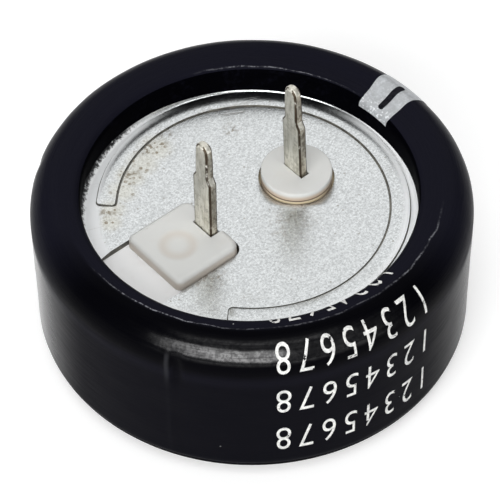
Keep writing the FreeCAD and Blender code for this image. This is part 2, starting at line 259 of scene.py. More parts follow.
def plate_face(m):
    """Height of the end plate's face in millimetres."""
    return mm(PLATE_LOW.z) + mm(m.sheet)


def smooth(low, high, value):
    t = min(max((value - low) / (high - low), 0.0), 1.0)
    return t * t * (3.0 - 2.0 * t)


# Shaping


def wire(bm, corners, closed=True):
    """Line in the XZ plane through (x, z, rounding) corners."""
    verts = [bm.verts.new((x, 0.0, z)) for x, z, _ in corners]
    pairs = list(zip(verts, verts[1:]))
    if closed:
        pairs.append((verts[-1], verts[0]))
    for pair in pairs:
        bm.edges.new(pair)
    for vert, (_, _, radius) in zip(verts, corners):
        if radius:
            bmesh.ops.bevel(
                bm, geom=[vert], offset=radius, offset_type="OFFSET",
                segments=max(5, round(12 * radius ** 0.5)), profile=0.5, affect="VERTICES", material=-1,
            )
    bmesh.ops.remove_doubles(bm, verts=bm.verts[:], dist=1e-4)


def spin(bm, steps, angle=2.0 * math.pi):
    """Turns a line about the Z axis; a part of a turn is closed at both ends."""
    whole = abs(angle - 2.0 * math.pi) < 1e-6
    bmesh.ops.spin(
        bm, geom=bm.verts[:] + bm.edges[:], cent=(0, 0, 0), axis=(0, 0, 1), angle=angle, steps=steps,
        use_merge=whole,
    )
    bmesh.ops.remove_doubles(bm, verts=bm.verts[:], dist=1e-4)
    if not whole:
        bmesh.ops.holes_fill(bm, edges=bm.edges[:], sides=0)
    bmesh.ops.recalc_face_normals(bm, faces=bm.faces[:])


def turned(corners, steps, closed=True):
    """Solid of revolution."""
    bm = bmesh.new()
    wire(bm, corners, closed)
    spin(bm, steps)
    return bm


def slab(x0, x1, width, z0, z1):
    """Box from x0 to x1 and from z0 to z1, centred along Y."""
    bm = bmesh.new()
    middle = Matrix.Translation(((x0 + x1) / 2, 0, (z0 + z1) / 2))
    bmesh.ops.create_cube(bm, size=1.0, matrix=middle @ Matrix.Diagonal((x1 - x0, width, z1 - z0, 1)))
    return bm


def round_edges(bm, edges, offset, segments):
    bmesh.ops.bevel(
        bm, geom=edges, offset=offset, offset_type="OFFSET", segments=segments, profile=0.5, affect="EDGES",
        clamp_overlap=True, material=-1,
    )


def upright(edge):
    a, b = (v.co for v in edge.verts)
    return abs(a.x - b.x) < 1e-5 and abs(a.y - b.y) < 1e-5


def level(edge, z):
    return all(abs(v.co.z - z) < 1e-4 for v in edge.verts)


def combine(body, tool, operation):
    """Joins or cuts two closed shapes; both are used up."""
    made = []
    for bm in (body, tool):
        mesh = bpy.data.meshes.new("shape")
        bm.to_mesh(mesh)
        bm.free()
        obj = bpy.data.objects.new("shape", mesh)
        bpy.context.scene.collection.objects.link(obj)
        made.append(obj)
    step = made[0].modifiers.new("step", "BOOLEAN")
    step.operation = operation
    step.solver = "EXACT"
    step.object = made[1]
    bpy.context.view_layer.update()
    graph = bpy.context.evaluated_depsgraph_get()
    mesh = bpy.data.meshes.new_from_object(made[0].evaluated_get(graph), depsgraph=graph)
    result = bmesh.new()
    result.from_mesh(mesh)
    bpy.data.meshes.remove(mesh)
    for obj in made:
        mesh = obj.data
        bpy.data.objects.remove(obj)
        bpy.data.meshes.remove(mesh)
    bmesh.ops.remove_doubles(result, verts=result.verts[:], dist=1e-5)
    if not result.faces:
        raise RuntimeError("A shape came out empty.")
    return result


def finish_piece(bm, name, materials, nodes=(), sharp=32.0, flat=False):
    """Turns a shape in millimetres into a piece of the part."""
    bmesh.ops.scale(bm, vec=(MM, MM, MM), verts=bm.verts[:])
    for edge in bm.edges:
        edge.smooth = len(edge.link_faces) == 2 and edge.calc_face_angle() < math.radians(sharp)
    for face in bm.faces:
        face.smooth = True
    mesh = bpy.data.meshes.new(name)
    bm.to_mesh(mesh)
    bm.free()
    for material in materials:
        mesh.materials.append(material)
    obj = bpy.data.objects.new(name, mesh)
    bpy.context.scene.collection.objects.link(obj)
    if flat:
        even = obj.modifiers.new("Even normals", "WEIGHTED_NORMAL")
        even.keep_sharp = True
    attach(obj, "root")
    if nodes:
        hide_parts(*nodes)
    return obj


class Film:
    """Outside of the film: run is the distance along it from its cut edge in the recess."""

    def __init__(self, s):
        self.s = s
        self.radius = mm(s.radius)
        self.height = mm(s.height)
        self.wall = mm(s.wall)
        self.shoulder = mm(s.shoulder)
        self.roll = mm(s.roll)
        self.lip = mm(s.lip)
        self.crest_r = self.radius - self.shoulder
        self.roll_r = self.crest_r - mm(s.crest)
        self.lip_r = self.roll_r - self.roll
        self.shoulder_z = self.height - self.shoulder
        self.roll_z = self.height - self.roll
        self.edge_z = self.roll_z - self.lip
        self.roll_run = self.lip + self.roll * math.pi / 2
        self.crest_run = self.roll_run + mm(s.crest)
        self.wall_run = self.crest_run + self.shoulder * math.pi / 2

    def section(self, run):
        """Radius, height and outward direction at a run."""
        if run < self.lip:
            return self.lip_r, self.edge_z + run, -1.0, 0.0
        if run < self.roll_run:
            a = (run - self.roll_run) / self.roll
            out, up = math.sin(a), math.cos(a)
            return self.roll_r + self.roll * out, self.roll_z + self.roll * up, out, up
        if run < self.crest_run:
            return self.roll_r + run - self.roll_run, self.height, 0.0, 1.0
        if run < self.wall_run:
            a = (run - self.crest_run) / self.shoulder
            out, up = math.sin(a), math.cos(a)
            return self.crest_r + self.shoulder * out, self.shoulder_z + self.shoulder * up, out, up
        return self.radius, self.shoulder_z - (run - self.wall_run), 1.0, 0.0

    def run_at(self, r, z):
        """Run of a point on the outside, or None for the inside."""
        slack = 0.01
        if abs(r - self.lip_r) < slack and z < self.roll_z + 1e-4:
            return z - self.edge_z
        if z > self.roll_z and r < self.roll_r:
            if abs(math.hypot(r - self.roll_r, z - self.roll_z) - self.roll) > slack:
                return None
            return self.roll_run + self.roll * math.atan2(r - self.roll_r, z - self.roll_z)
        if z > self.height - slack and r < self.crest_r + 1e-4:
            return self.roll_run + r - self.roll_r
        if z > self.shoulder_z and r > self.crest_r:
            if abs(math.hypot(r - self.crest_r, z - self.shoulder_z) - self.shoulder) > slack:
                return None
            return self.crest_run + self.shoulder * math.atan2(r - self.crest_r, z - self.shoulder_z)
        if abs(r - self.radius) < slack:
            return self.wall_run + self.shoulder_z - z
        return None

    def relief(self, run, around):
        """Height of the film's own creases and unevenness."""
        z = self.section(run)[1]
        off = math.degrees(math.remainder(around - self.s.crease_turn, 2 * math.pi))
        fade = (0.06 + 0.94 * smooth(5.0, 6.8, z)) * smooth(1.4, 2.8, z) * (1.0 - smooth(6.9, 7.35, z))
        crease = 0.55 * math.exp(-((off + 2.4) / 0.9) ** 2) - math.exp(-(off / 1.3) ** 2)
        beside = math.degrees(math.remainder(around - self.s.pinch_turn, 2 * math.pi))
        pinch = -0.5 * math.exp(-(beside / 2.2) ** 2) * smooth(4.5, 6.4, z) * (1.0 - smooth(6.8, 7.8, z))
        x, y = 4.0 * math.cos(around), 4.0 * math.sin(around)
        crown = smooth(0.5, 1.1, run) * (1.0 - smooth(1.5, 2.3, run))
        ripple = 0.012 * noise.noise((x, y, 0.7 * run)) + 0.006 * noise.noise((2.6 * x, 2.6 * y, 1.9 * run))
        uneven = mm(self.s.crease_depth) * (fade * crease + pinch) + ripple * smooth(0.0, 0.6, run)
        return uneven - crown * self.press(around)

    def press(self, around):
        """How far the crest is pressed down."""
        off = math.remainder(around - self.s.press_turn, 2 * math.pi)
        return mm(self.s.press) * math.exp(-(off / self.s.press_width) ** 2)

    def hang(self, z, around):
        """How far a point of the lip hangs below its level at the front."""
        share = min(max((self.roll_z - z) / self.lip, 0.0), 1.0)
        return share * mm(self.s.hang) * smooth(-0.3, 0.9, math.cos(around - self.s.hang_turn))

    def settle(self, co, dish=False):
        """Place of a point once the rolled edge, and the dish wall with it, sits to one side of the axis."""
        r = math.hypot(co.x, co.y)
        # The shift fades out over the crest and, for the dish, over the foot of its wall.
        share = 1.0 - smooth(7.3, 8.3, r)
        if dish:
            share *= smooth(6.8, 7.05, r)
        side = Vector((math.cos(self.s.off_turn), math.sin(self.s.off_turn), 0.0))
        return co + side * share * mm(self.s.off_centre)

    def seat(self, co):
        """Place of a point below the film's outside, pressed down and moved aside with it."""
        # The press fades out below the rim and towards the side.
        crown = smooth(7.0, 7.6, co.z) * (1.0 - smooth(8.2, 9.0, math.hypot(co.x, co.y)))
        drop = crown * self.press(math.atan2(co.y, co.x))
        return self.settle(co - Vector((0.0, 0.0, drop)))

    def point(self, run, around, lift):
        """Place of a point on the film's outside, or lifted off it."""
        r, z, out, up = self.section(run)
        h = lift + self.relief(run, around)
        if run < self.lip:
            z -= self.hang(z, around)
        r += out * h
        return self.settle(Vector((r * math.cos(around), r * math.sin(around), z + up * h)))


# Materials


def put(tree, kind, values=None, **settings):
    """Adds a node; values are numbers or sockets by input name or number."""
    node = tree.nodes.new(kind)
    for name, value in settings.items():
        setattr(node, name, value)
    for key, value in (values or {}).items():
        if isinstance(value, bpy.types.NodeSocket):
            tree.links.new(value, node.inputs[key])
        else:
            node.inputs[key].default_value = value
    return node


def rgba(colour):
    return (*colour, 1.0)


def math_of(tree, operation, a, b=0.0):
    return put(tree, "ShaderNodeMath", {0: a, 1: b}, operation=operation).outputs[0]


def ranged(tree, value, low, high, to_low=0.0, to_high=1.0, kind="SMOOTHSTEP"):
    values = {"Value": value, "From Min": low, "From Max": high, "To Min": to_low, "To Max": to_high}
    return put(tree, "ShaderNodeMapRange", values, interpolation_type=kind).outputs[0]


def blend(tree, factor, a, b, mode="MIX"):
    a = rgba(a) if not isinstance(a, bpy.types.NodeSocket) else a
    b = rgba(b) if not isinstance(b, bpy.types.NodeSocket) else b
    return put(tree, "ShaderNodeMix", {0: factor, 6: a, 7: b}, data_type="RGBA", blend_type=mode).outputs[2]


def effect(name, inputs, outputs):
    """Empty node group with named sockets, and its two ends."""
    group = bpy.data.node_groups.new(name, "ShaderNodeTree")
    for label, kind in inputs:
        group.interface.new_socket(name=label, in_out="INPUT", socket_type="NodeSocket" + kind)
    for label, kind in outputs:
        group.interface.new_socket(name=label, in_out="OUTPUT", socket_type="NodeSocket" + kind)
    return group, group.nodes.new("NodeGroupInput"), group.nodes.new("NodeGroupOutput")


def grain_effect():
    """Two sizes of fine grain, from 0 to 1 around 0.5."""
    name = "Fine grain"
    if name in bpy.data.node_groups:
        return bpy.data.node_groups[name]
    tree, start, end = effect(name, [("Place", "Vector"), ("Scale", "Float")], [("Grain", "Float")])
    place, scale = start.outputs[:2]
    fine = put(tree, "ShaderNodeTexNoise", {"Vector": place, "Scale": scale, "Detail": 2.0})
    wide = math_of(tree, "MULTIPLY", scale, 0.31)
    coarse = put(tree, "ShaderNodeTexNoise", {"Vector": place, "Scale": wide, "Detail": 3.0})
    both = math_of(tree, "ADD", fine.outputs[0], coarse.outputs[0])
    tree.links.new(math_of(tree, "MULTIPLY", both, 0.5), end.inputs[0])
    return tree


def patch_effect():
    """Soft irregular patches."""
    name = "Soft patches"
    if name in bpy.data.node_groups:
        return bpy.data.node_groups[name]
    inputs = [("Place", "Vector"), ("Scale", "Float"), ("Cover", "Float")]
    tree, start, end = effect(name, inputs, [("Mask", "Float")])
    place, scale, cover = start.outputs[:3]
    values = {"Vector": place, "Scale": scale, "Detail": 5.0, "Roughness": 0.62, "Distortion": 0.4}
    cloud = put(tree, "ShaderNodeTexNoise", values)
    edge = math_of(tree, "SUBTRACT", 0.72, math_of(tree, "MULTIPLY", cover, 0.44))
    top = math_of(tree, "ADD", edge, 0.16)
    tree.links.new(ranged(tree, cloud.outputs[0], edge, top), end.inputs[0])
    return tree


def speck_effect():
    """Scattered small specks."""
    name = "Specks"
    if name in bpy.data.node_groups:
        return bpy.data.node_groups[name]
    inputs = [("Place", "Vector"), ("Scale", "Float"), ("Size", "Float"), ("Cover", "Float")]
    tree, start, end = effect(name, inputs, [("Mask", "Float")])
    place, scale, size, cover = start.outputs[:4]
    cells = put(tree, "ShaderNodeTexVoronoi", {"Vector": place, "Scale": scale})
    dot = math_of(tree, "LESS_THAN", cells.outputs["Distance"], size)
    pick = put(tree, "ShaderNodeSeparateColor", {0: cells.outputs["Color"]})
    chosen = math_of(tree, "LESS_THAN", pick.outputs[0], cover)
    tree.links.new(math_of(tree, "MULTIPLY", dot, chosen), end.inputs[0])
    return tree


def scratch_effect():
    """Thin scratches that run mostly one way; Turn is their direction in the XY plane."""
    name = "Scratches"
    if name in bpy.data.node_groups:
        return bpy.data.node_groups[name]
    inputs = [("Place", "Vector"), ("Scale", "Float"), ("Turn", "Float"), ("Cover", "Float")]
    tree, start, end = effect(name, inputs, [("Mask", "Float")])
    place, scale, angle, cover = start.outputs[:4]
    values = {"Vector": place, "Angle": angle}
    swung = put(tree, "ShaderNodeVectorRotate", values, rotation_type="Z_AXIS").outputs[0]
    values = {0: swung, 1: (0.12, 3.0, 1.0)}
    stretched = put(tree, "ShaderNodeVectorMath", values, operation="MULTIPLY").outputs[0]
    lines = put(tree, "ShaderNodeTexNoise", {"Vector": stretched, "Scale": scale, "Detail": 1.0})
    near = math_of(tree, "ABSOLUTE", math_of(tree, "SUBTRACT", lines.outputs[0], 0.5))
    line = ranged(tree, near, 0.0, 0.012, 1.0, 0.0, "LINEAR")
    where = put(tree, "ShaderNodeTexNoise", {"Vector": place, "Scale": 0.5, "Detail": 2.0})
    edge = math_of(tree, "SUBTRACT", 0.75, math_of(tree, "MULTIPLY", cover, 0.5))
    keep = ranged(tree, where.outputs[0], edge, math_of(tree, "ADD", edge, 0.08))
    tree.links.new(math_of(tree, "MULTIPLY", line, keep), end.inputs[0])
    return tree


class Finish:
    """A material with its Principled shader and its place in millimetres."""

    def __init__(self, name, **constants):
        self.material = bpy.data.materials.new(name)
        self.material.use_nodes = True
        self.tree = self.material.node_tree
        self.shader = self.tree.nodes["Principled BSDF"]
        for key, value in constants.items():
            self.shader.inputs[key.replace("_", " ")].default_value = value
        place = put(self.tree, "ShaderNodeTexCoord").outputs["Object"]
        scaled = put(self.tree, "ShaderNodeVectorMath", {0: place, "Scale": 1.0 / MM}, operation="SCALE")
        self.place = scaled.outputs[0]
        self.x, self.y, self.z = put(self.tree, "ShaderNodeSeparateXYZ", {0: self.place}).outputs

    def link(self, value, name):
        self.tree.links.new(value, self.shader.inputs[name])

    def done(self, colour, rough, height=None, depth=0.0, strength=1.0):
        """The material, once its colour, roughness and relief are linked; depth is in millimetres."""
        self.link(colour, "Base Color")
        self.link(rough, "Roughness")
        if height is not None:
            values = {"Height": height, "Distance": depth * MM, "Strength": strength}
            self.link(put(self.tree, "ShaderNodeBump", values).outputs[0], "Normal")
        return self.material

    def times(self, a, b):
        return math_of(self.tree, "MULTIPLY", a, b)

    def plus(self, a, b):
        return math_of(self.tree, "ADD", a, b)

    def minus(self, a, b):
        return math_of(self.tree, "SUBTRACT", a, b)

    def absolute(self, a):
        return math_of(self.tree, "ABSOLUTE", a)

    def total(self, *values):
        """The largest of several masks."""
        out = values[0]
        for value in values[1:]:
            out = math_of(self.tree, "MAXIMUM", out, value)
        return out

    def ranged(self, *values):
        return ranged(self.tree, *values)

    def even(self, value, low, high):
        """A grain or streak spread evenly between two values."""
        return ranged(self.tree, value, 0.3, 0.7, low, high, "LINEAR")

    def band(self, value, rise, full, fade, none):
        """1 from full to fade, 0 before rise and after none."""
        return self.times(self.ranged(value, rise, full), self.ranged(value, fade, none, 1.0, 0.0))

    def blend(self, *values):
        return blend(self.tree, *values)

    def run(self):
        """Distance along the film from its cut edge."""
        return put(self.tree, "ShaderNodeAttribute", attribute_name="run").outputs["Fac"]

    def distance(self, start, point):
        ends = {0: start, 1: point}
        return put(self.tree, "ShaderNodeVectorMath", ends, operation="DISTANCE").outputs["Value"]

    def near(self, x, y, z, full, none):
        """1 within full of a point, 0 beyond none."""
        return self.ranged(self.distance(self.place, (x, y, z)), full, none, 1.0, 0.0)

    def away(self, x, y):
        """Distance from an upright line."""
        flat = put(self.tree, "ShaderNodeCombineXYZ", {0: self.x, 1: self.y}).outputs[0]
        return self.distance(flat, (x, y, 0.0))

    def along(self, direction):
        """Distance from the axis along a direction."""
        return self.plus(self.times(self.x, direction[0]), self.times(self.y, direction[1]))

    def drawn(self, share):
        """Place squeezed along Z, which stretches a noise into drawing marks."""
        values = {0: self.place, 1: (1.0, 1.0, share)}
        return put(self.tree, "ShaderNodeVectorMath", values, operation="MULTIPLY").outputs[0]

    def noise(self, scale, detail, roughness=0.5, place=None):
        place = self.place if place is None else place
        values = {"Vector": place, "Scale": scale, "Detail": detail, "Roughness": roughness}
        return put(self.tree, "ShaderNodeTexNoise", values).outputs[0]

    def shared(self, group, **values):
        values["Place"] = self.place
        return put(self.tree, "ShaderNodeGroup", values, node_tree=group).outputs[0]

    def grain(self, scale):
        return self.shared(grain_effect(), Scale=scale)

    def patches(self, scale, cover):
        return self.shared(patch_effect(), Scale=scale, Cover=cover)

    def specks(self, scale, size, cover):
        return self.shared(speck_effect(), Scale=scale, Size=size, Cover=cover)

    def scratches(self, scale, direction, cover):
        return self.shared(scratch_effect(), Scale=scale, Turn=direction, Cover=cover)


def film_finish(s):
    f = Finish("black_film", IOR=1.08, Coat_IOR=1.75, Coat_Roughness=0.15)
    run = f.run()
    parts = {0: f.times(f.x, 0.35), 1: f.times(f.y, 0.35), 2: f.times(run, 7.0)}
    streak = f.noise(1.6, 4.0, 0.6, put(f.tree, "ShaderNodeCombineXYZ", parts).outputs[0])
    grain = f.grain(9.0)
    wander = f.noise(0.9, 3.0)
    broken = f.ranged(grain, 0.44, 0.58, 0.1, 1.0)

    def rubbed_highlight(run_mm, *places):
        """Thin broken worn line along the film, painted light enough to stand in for a thin highlight."""
        middle = f.ranged(wander, 0.3, 0.7, run_mm - 0.06, run_mm + 0.06, "LINEAR")
        off = f.absolute(f.minus(run, middle))
        line = f.times(f.ranged(off, 0.0, 0.06, 1.0, 0.0), broken)
        return f.times(line, f.total(*places))

    # Worn lines painted light, which also stand in for thin highlights on the rim.
    worn = f.total(
        rubbed_highlight(
            mm(s.worn_run), f.near(-7.5, -3.0, 8.1, 0.8, 4.0),
            f.times(f.near(2.6, -7.7, 8.1, 0.6, 3.4), 0.75),
            f.times(f.near(-3.4, -7.3, 8.1, 2.0, 5.0), 0.35),
        ),
        f.times(rubbed_highlight(1.02, f.near(5.4, 4.4, 8.0, 1.5, 4.2)), 0.8),
    )
    ahead = f.along(FRONT)
    front = f.ranged(ahead, 2.0, 6.0)
    # Painted shade on the front of the rim and shoulder, around the highlight.
    shade_painted = f.times(f.band(run, 1.7, 2.0, 3.9, 4.7), front)
    # Painted shade down the crease, in the notch mask, and a faint painted highlight just beside it.
    across = f.along(ACROSS_CREASE)
    fold = f.times(f.ranged(f.z, 5.2, 6.8, 0.06, 1.0), f.ranged(f.z, 7.1, 7.35, 1.0, 0.0))
    fold = f.times(fold, front)
    notch = f.times(f.ranged(f.absolute(across), 0.1, 0.4, 1.0, 0.0), fold)
    crease_painted_highlight = f.times(f.ranged(f.absolute(f.plus(across, 0.42)), 0.02, 0.16, 1.0, 0.0), fold)
    # Painted shade that deepens down the side wall.
    colour = f.blend(f.ranged(run, 4.0, 5.0, 0.0, 0.7), s.colour, s.painted_shade_colour)
    colour = f.blend(f.times(f.total(shade_painted, notch), 0.97), colour, s.painted_shade_colour)
    colour = f.blend(f.times(crease_painted_highlight, 0.08), colour, s.scuff_and_highlight_colour)
    colour = f.blend(worn, colour, s.scuff_and_highlight_colour)
    colour = f.blend(f.times(f.specks(1.4, 0.05, 0.05), 0.4), colour, s.dust_colour)
    rough = f.plus(f.ranged(run, 3.4, 4.2, 0.26, 0.46), f.ranged(streak, 0.3, 0.75, -0.04, 0.08))
    rough = f.plus(rough, f.times(worn, 0.2))
    shine = f.times(f.band(run, 2.3, 2.95, 3.16, 3.56), f.near(-5.0, -7.9, 7.5, 2.2, 6.2))
    shine = f.times(shine, f.ranged(streak, 0.3, 0.62, 0.45, 1.0))
    shine = f.times(shine, f.ranged(grain, 0.42, 0.58, 0.5, 1.0))
    sides = f.times(f.ranged(f.absolute(ahead), 1.5, 6.5, 1.0, 0.0), f.ranged(run, 3.9, 4.8))
    sides = f.times(sides, f.ranged(f.along(LEFT), -2.0, 2.0, 0.42, 0.75))
    f.link(f.total(shine, sides), "Coat Weight")
    return f.done(colour, rough, f.plus(f.times(streak, 0.7), f.times(grain, 0.3)), 0.010, 0.5)


def lip_finish(s):
    """Film that hangs in the recess, with its shade painted into its colour."""
    f = Finish("film_lip_painted_shade", IOR=1.03)
    grain = f.grain(6.0)
    colour = f.blend(f.ranged(grain, 0.5, 0.7, 0.0, 0.3), s.painted_shade_colour, s.colour)
    return f.done(colour, f.even(grain, 0.4, 0.55), grain, 0.010, 0.5)


def sheet_finish(s):
    f = Finish("tinned_sheet")
    face = plate_face(s)

    def around(*places):
        """Soft spots on the face, each given as x, y, full radius and outer radius."""
        return f.total(*[f.near(x, y, face, full, none) for x, y, full, none in places])

    fine = f.noise(11.0, 2.0, 0.8)
    grain = f.grain(5.0)
    spots = around(
        (-1.25, 5.39, 0.15, 0.8), (-0.25, 5.57, 0.1, 0.6), (-2.74, 4.94, 0.1, 0.7), (-5.12, 3.67, 0.1, 0.7),
        (-4.05, -1.95, 0.2, 1.0), (1.56, -1.36, 0.1, 0.6), (2.25, 3.97, 0.1, 0.6),
    )
    # Painted reflection of the pin and bush: a darker patch in front of the bush, laid in with the stains.
    pin_painted_reflection = f.times(around((0.47, -1.94, 0.2, 1.5)), 0.55)
    tarnish_and_reflection = f.times(f.total(spots, pin_painted_reflection), f.patches(4.5, 0.55))
    halo = around(
        (-1.0, 5.3, 0.3, 1.0), (-2.0, 5.0, 0.3, 1.0), (-2.9, 4.7, 0.3, 0.9), (-3.7, 4.25, 0.2, 0.9),
        (-4.7, 3.7, 0.2, 0.8), (-5.2, 3.2, 0.2, 0.7),
    )
    rust = f.times(f.times(halo, f.specks(4.2, 0.36, 0.65)), f.ranged(grain, 0.4, 0.56, 0.2, 1.0))
    # Painted dark reflection of the film's wall on the dish slope at the left, with a ragged edge.
    ragged = f.plus(f.away(*DISH_MIDDLE), f.times(f.noise(7.0, 3.0, 0.6), 0.5))
    painted_dark_reflection = f.times(f.ranged(ragged, 7.3, 7.46), f.ranged(f.along(LEFT), 4.4, 5.8))
    # Painted light: the outer ring of the face is paler and less metallic away from the back, in place of its
    # reflection of the film's wall.
    matt = f.times(f.ranged(f.away(0.0, 0.0), 6.4, 6.67), f.ranged(f.along(BACK), 4.4, 6.0, 1.0, 0.0))
    scratches = f.total(f.scratches(0.9, 0.5, 0.3), f.scratches(0.7, 2.2, 0.25))
    tone = f.ranged(fine, 0.32, 0.68, 0.7, 1.2, "LINEAR")
    grey = put(f.tree, "ShaderNodeCombineColor", {0: tone, 1: tone, 2: tone}).outputs[0]
    colour = f.blend(1.0, s.colour, grey, "MULTIPLY")
    colour = f.blend(f.times(f.patches(0.5, 0.45), 0.06), colour, (0.55, 0.55, 0.52))
    colour = f.blend(f.times(halo, 0.3), colour, (0.66, 0.62, 0.46))
    colour = f.blend(f.times(f.total(tarnish_and_reflection, rust), 0.75), colour, s.stain_and_shade_colour)
    colour = f.blend(matt, colour, (0.94, 0.96, 0.97))
    colour = f.blend(painted_dark_reflection, colour, (0.012, 0.012, 0.014))
    colour = f.blend(f.times(f.specks(2.6, 0.12, 0.22), 0.5), colour, (0.22, 0.19, 0.14))
    colour = f.blend(f.times(scratches, 0.4), colour, (0.36, 0.35, 0.32))
    f.link(f.minus(1.0, f.times(matt, 0.8)), "Metallic")
    rough = f.plus(f.even(grain, 0.19, 0.27), f.plus(f.times(matt, 0.2), f.times(tarnish_and_reflection, 0.15)))
    return f.done(colour, rough, f.minus(fine, f.times(scratches, 0.5)), 0.010, 0.5)


def hole_finish(s):
    """Edge of the hole around the bush, with a painted warm highlight on its near side and painted shade
    elsewhere.
    """
    f = Finish("hole_edge", Metallic=1.0)
    grain = f.grain(6.0)
    hole_painted_shade = f.minus(1.0, f.near(*PAINTED_GLINT_SIDE, plate_face(s), 0.9, 1.7))
    colour = f.blend(f.total(f.ranged(grain, 0.42, 0.6, 0.0, 0.6), hole_painted_shade), s.hole_glint_colour, s.stain_and_shade_colour)
    return f.done(colour, f.even(grain, 0.25, 0.4), grain, 0.006, 0.4)


def line_finish(s):
    """Line pressed in along the foot of the bead; the groove is shaped, and its darkness is painted shade."""
    f = Finish("pressed_line_painted_shade", Metallic=0.6)
    grain = f.grain(6.0)
    colour = f.blend(f.ranged(grain, 0.4, 0.62), s.bead_line_shade_colour, (0.26, 0.25, 0.22))
    return f.done(colour, f.even(grain, 0.5, 0.7), grain, 0.008, 0.5)


def pin_finish(s):
    f = Finish("tinned_pin", Metallic=1.0)
    streak = f.noise(9.0, 4.0, place=f.drawn(0.16))
    grain = f.grain(8.0)
    colour = f.blend(f.ranged(streak, 0.38, 0.66), s.pin_colour, (0.70, 0.68, 0.59))
    colour = f.blend(f.times(f.patches(1.3, 0.55), 0.45), colour, (0.62, 0.60, 0.52))
    colour = f.blend(f.ranged(grain, 0.5, 0.62, 0.0, 0.45), colour, (0.36, 0.34, 0.28))
    colour = f.blend(f.times(f.specks(3.4, 0.13, 0.12), 0.5), colour, (0.26, 0.23, 0.18))
    return f.done(colour, f.even(grain, 0.40, 0.56), f.plus(streak, f.times(grain, 0.6)), 0.03, 0.7)


def shear_finish(s):
    f = Finish("sheared_edge", Metallic=1.0)
    tear = f.noise(5.0, 5.0, 0.65, f.drawn(0.35))
    grain = f.grain(10.0)
    colour = f.blend(f.ranged(tear, 0.42, 0.68), s.shear_colour, (0.88, 0.85, 0.75))
    colour = f.blend(f.ranged(grain, 0.48, 0.6, 0.0, 0.6), colour, (0.16, 0.12, 0.08))
    return f.done(colour, f.even(tear, 0.5, 0.34), f.plus(tear, grain), 0.02, 0.7)


def burr_finish(s):
    f = Finish("torn_corner", Metallic=0.7)
    tear = f.noise(4.0, 4.0, 0.7, f.drawn(0.5))
    colour = f.blend(f.ranged(tear, 0.58, 0.7), s.burr_colour, s.pin_colour)
    return f.done(colour, f.even(tear, 0.6, 0.36), tear, 0.03, 0.8)


def plastic_finish(s, m):
    f = Finish("white_plastic", IOR=1.4)
    face = plate_face(m)
    bush = mm(s.bush_radius)
    bush_x = mm(m.pin_pitch) / 2
    mark_from_pin = 1.55
    mark_x = -bush_x - mark_from_pin
    top = face + mm(s.block_rise)
    # Painted shade: tan in the ring around the moulding mark and on the side walls.
    ring = f.minus(f.near(mark_x, 0.0, top, 0.6, 0.98), f.near(mark_x, 0.0, top, 0.2, 0.75))
    wall = f.band(f.z, face - 0.12, face - 0.08, face + 0.15, top - 0.05)
    # Painted warm light at the bottom of the gap around the bush, in the gap mask.
    gap = f.near(bush_x, 0.0, face - 0.4, bush + 0.25, bush + 0.35)
    gap = f.times(gap, f.ranged(f.z, face - 0.38, face - 0.3, 1.0, 0.0))
    skirt = f.band(f.away(bush_x, 0.0), bush - 0.05, bush - 0.01, bush + 0.05, bush + 0.15)
    # Painted shade on the bush's wall, darker towards its foot, with a painted shadow line around it.
    skirt_painted_shade = f.times(skirt, f.ranged(f.z, face + 0.12, face + 0.42, 0.8, 0.0))
    ring_z = f.absolute(f.minus(f.z, face + 0.09))
    skirt_painted_shadow_line = f.times(skirt, f.ranged(ring_z, 0.02, 0.045, 0.9, 0.0))
    # Painted warm highlight at the foot of the bush on its near side.
    skirt_painted_glint = f.times(skirt, f.ranged(f.z, face + 0.02, face + 0.05, 1.0, 0.0))
    skirt_painted_glint = f.times(skirt_painted_glint, f.near(*PAINTED_GLINT_SIDE, face, 0.9, 1.7))
    # Painted shadow in the gap at the corner of the slot.
    pit_painted_shadow = f.times(f.ranged(f.z, face - 0.3, face - 0.22, 1.0, 0.0), f.near(-1.9, -1.8, face - 0.4, 0.7, 0.9))
    grain = f.grain(6.0)
    aged_and_shaded = f.total(f.times(ring, 0.32), f.times(wall, 0.48), f.times(f.patches(0.8, 0.5), 0.05))
    # Painted light on the sunken strip, which is paler.
    colour = f.blend(f.ranged(f.z, face - 0.13, face - 0.08, 1.0, 0.0), s.colour, s.strip_painted_light_colour)
    colour = f.blend(aged_and_shaded, colour, s.aged_and_shade_colour)
    colour = f.blend(skirt_painted_shade, colour, s.aged_and_shade_colour)
    colour = f.blend(f.total(gap, skirt_painted_glint), colour, s.warm_glint_colour)
    colour = f.blend(f.total(skirt_painted_shadow_line, pit_painted_shadow), colour, (0.05, 0.035, 0.02))
    colour = f.blend(f.times(f.specks(2.2, 0.06, 0.12), 0.5), colour, (0.34, 0.31, 0.27))
    return f.done(colour, f.even(grain, 0.38, 0.5), grain, 0.006, 0.5)


def steel_finish(s):
    f = Finish("plated_steel", Metallic=1.0)
    streak = f.noise(6.0, 4.0, place=f.drawn(0.1))
    colour = f.blend(f.ranged(streak, 0.3, 0.7), s.can_colour, (0.52, 0.53, 0.54))
    colour = f.blend(f.times(f.patches(0.4, 0.5), 0.3), colour, (0.45, 0.44, 0.41))
    return f.done(colour, f.even(streak, 0.24, 0.4), streak, 0.008, 0.5)


def liner_finish(s):
    f = Finish("liner_film", IOR=1.45)
    grain = f.grain(5.0)
    colour = f.blend(f.times(f.patches(0.7, 0.5), 0.4), s.liner_colour, (0.58, 0.58, 0.52))
    return f.done(colour, f.even(grain, 0.3, 0.45), grain, 0.006, 0.4)


